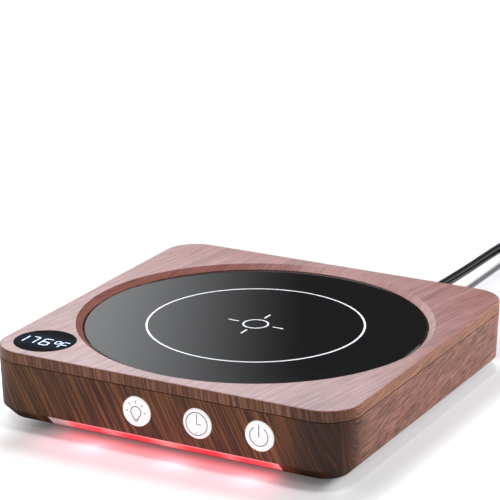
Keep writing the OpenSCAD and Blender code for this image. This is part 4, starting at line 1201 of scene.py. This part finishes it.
# %% The world's three answers
LIGHT_BELOW, LIGHT_ABOVE = (0.24, 0.24, 0.245), (0.40, 0.40, 0.41)
UPWARD_SPAN = (-0.2, 0.9)
LIGHT_NEAR_RIGHT = (0.08, 0.08, 0.08)
NEAR_RIGHT_SPAN = (0.2, 0.9)
DIAGONAL = 0.707


def even_light(x, y, z):
    """The colour that other rays find in a direction."""
    ambient = blend(smooth(z, *UPWARD_SPAN), LIGHT_BELOW, LIGHT_ABOVE)
    near_right = (x - y) * DIAGONAL
    return blend(smooth(near_right, *NEAR_RIGHT_SPAN), ambient, LIGHT_NEAR_RIGHT)


def studio_world():
    """One colour for glossy rays, one for other rays and white for the camera."""
    world = bpy.data.worlds.new("studio")
    world.use_nodes = True
    tree = world.node_tree
    where = Wire(tree).add("ShaderNodeTexCoord", output="Generated")
    split = where.add("ShaderNodeSeparateXYZ", inputs={0: where})
    x, y, z = [split.out(axis) for axis in "XYZ"]
    path = where.add("ShaderNodeLightPath", output="Is Camera Ray")
    seen = blend(path.out("Is Glossy Ray"), even_light(x, y, z), drawn_studio(x, y, z))
    seen = blend(path, seen, (1.0, 1.0, 1.0))
    tree.links.new(seen.socket, tree.nodes["Background"].inputs["Color"])
    bpy.context.scene.world = world


studio_world()
print("nodes in the world:", len(bpy.context.scene.world.node_tree.nodes))


# %% [markdown]
# ## The lamps
#
# The key is a wide softbox high at the left, and a small lamp almost overhead gives the shadows their
# edge. A large low fill at the back right lights the side wall. A narrow strip at the back left lays a
# pale sheen on the top. Then come the lamps that stand for the light bar's spill: a pink haze on the
# floor in front, a red line at the bar's foot and three small glows along the bar.


# %% Lamps
def softbox(name, at, size, power, colour=(1, 1, 1), aim=(0, 0, 10), mirrored=False):
    """A rectangular lamp at a point in mm, aimed at another. Only a mirrored one shows in the gloss."""
    data = bpy.data.lights.new(name, "AREA")
    data.shape = "RECTANGLE"
    data.size, data.size_y = size[0] * MM, size[1] * MM
    data.energy = power
    data.color = colour
    lamp = bpy.data.objects.new(name, data)
    bpy.context.scene.collection.objects.link(lamp)
    lamp.location = mm(*at)
    lamp.rotation_mode = "QUATERNION"
    lamp.rotation_quaternion = (mm(*aim) - lamp.location).to_track_quat("-Z", "Y")
    lamp.visible_glossy = mirrored
    lamp.visible_camera = False


softbox("key", (-420, 20, 860), (520, 420), 2.6, mirrored=True)
softbox("overhead", (60, 100, 1000), (100, 100), 5.3)
softbox("right_fill", (450, 420, 160), (420, 300), 3.5, (0.98, 1.0, 1.08))
softbox("back_strip", (-225, 350, 238), (240, 56), 0.29, (0.82, 0.94, 1.05), mirrored=True)
softbox("bar_haze", (3, -71, 9), (86, 6), 0.006, (1.0, 0.20, 0.32), aim=(3, -79, 0))
softbox("bar_foot", (3, -65.5, 3.2), (78, 3), 0.0016, (1.0, 0.05, 0.08), aim=(3, -64, 0))
for across in (-22, 8, 35):
    softbox("bar_glow", (across, -69, 5), (8, 4), 0.0004, (1.0, 0.6, 0.66), aim=(across, -71, 0))
print("lamps:", len(bpy.data.lights))

# %% [markdown]
#
# The Standard view shows a colour as it is written.

# %% View settings
bpy.context.scene.view_settings.view_transform = "Standard"
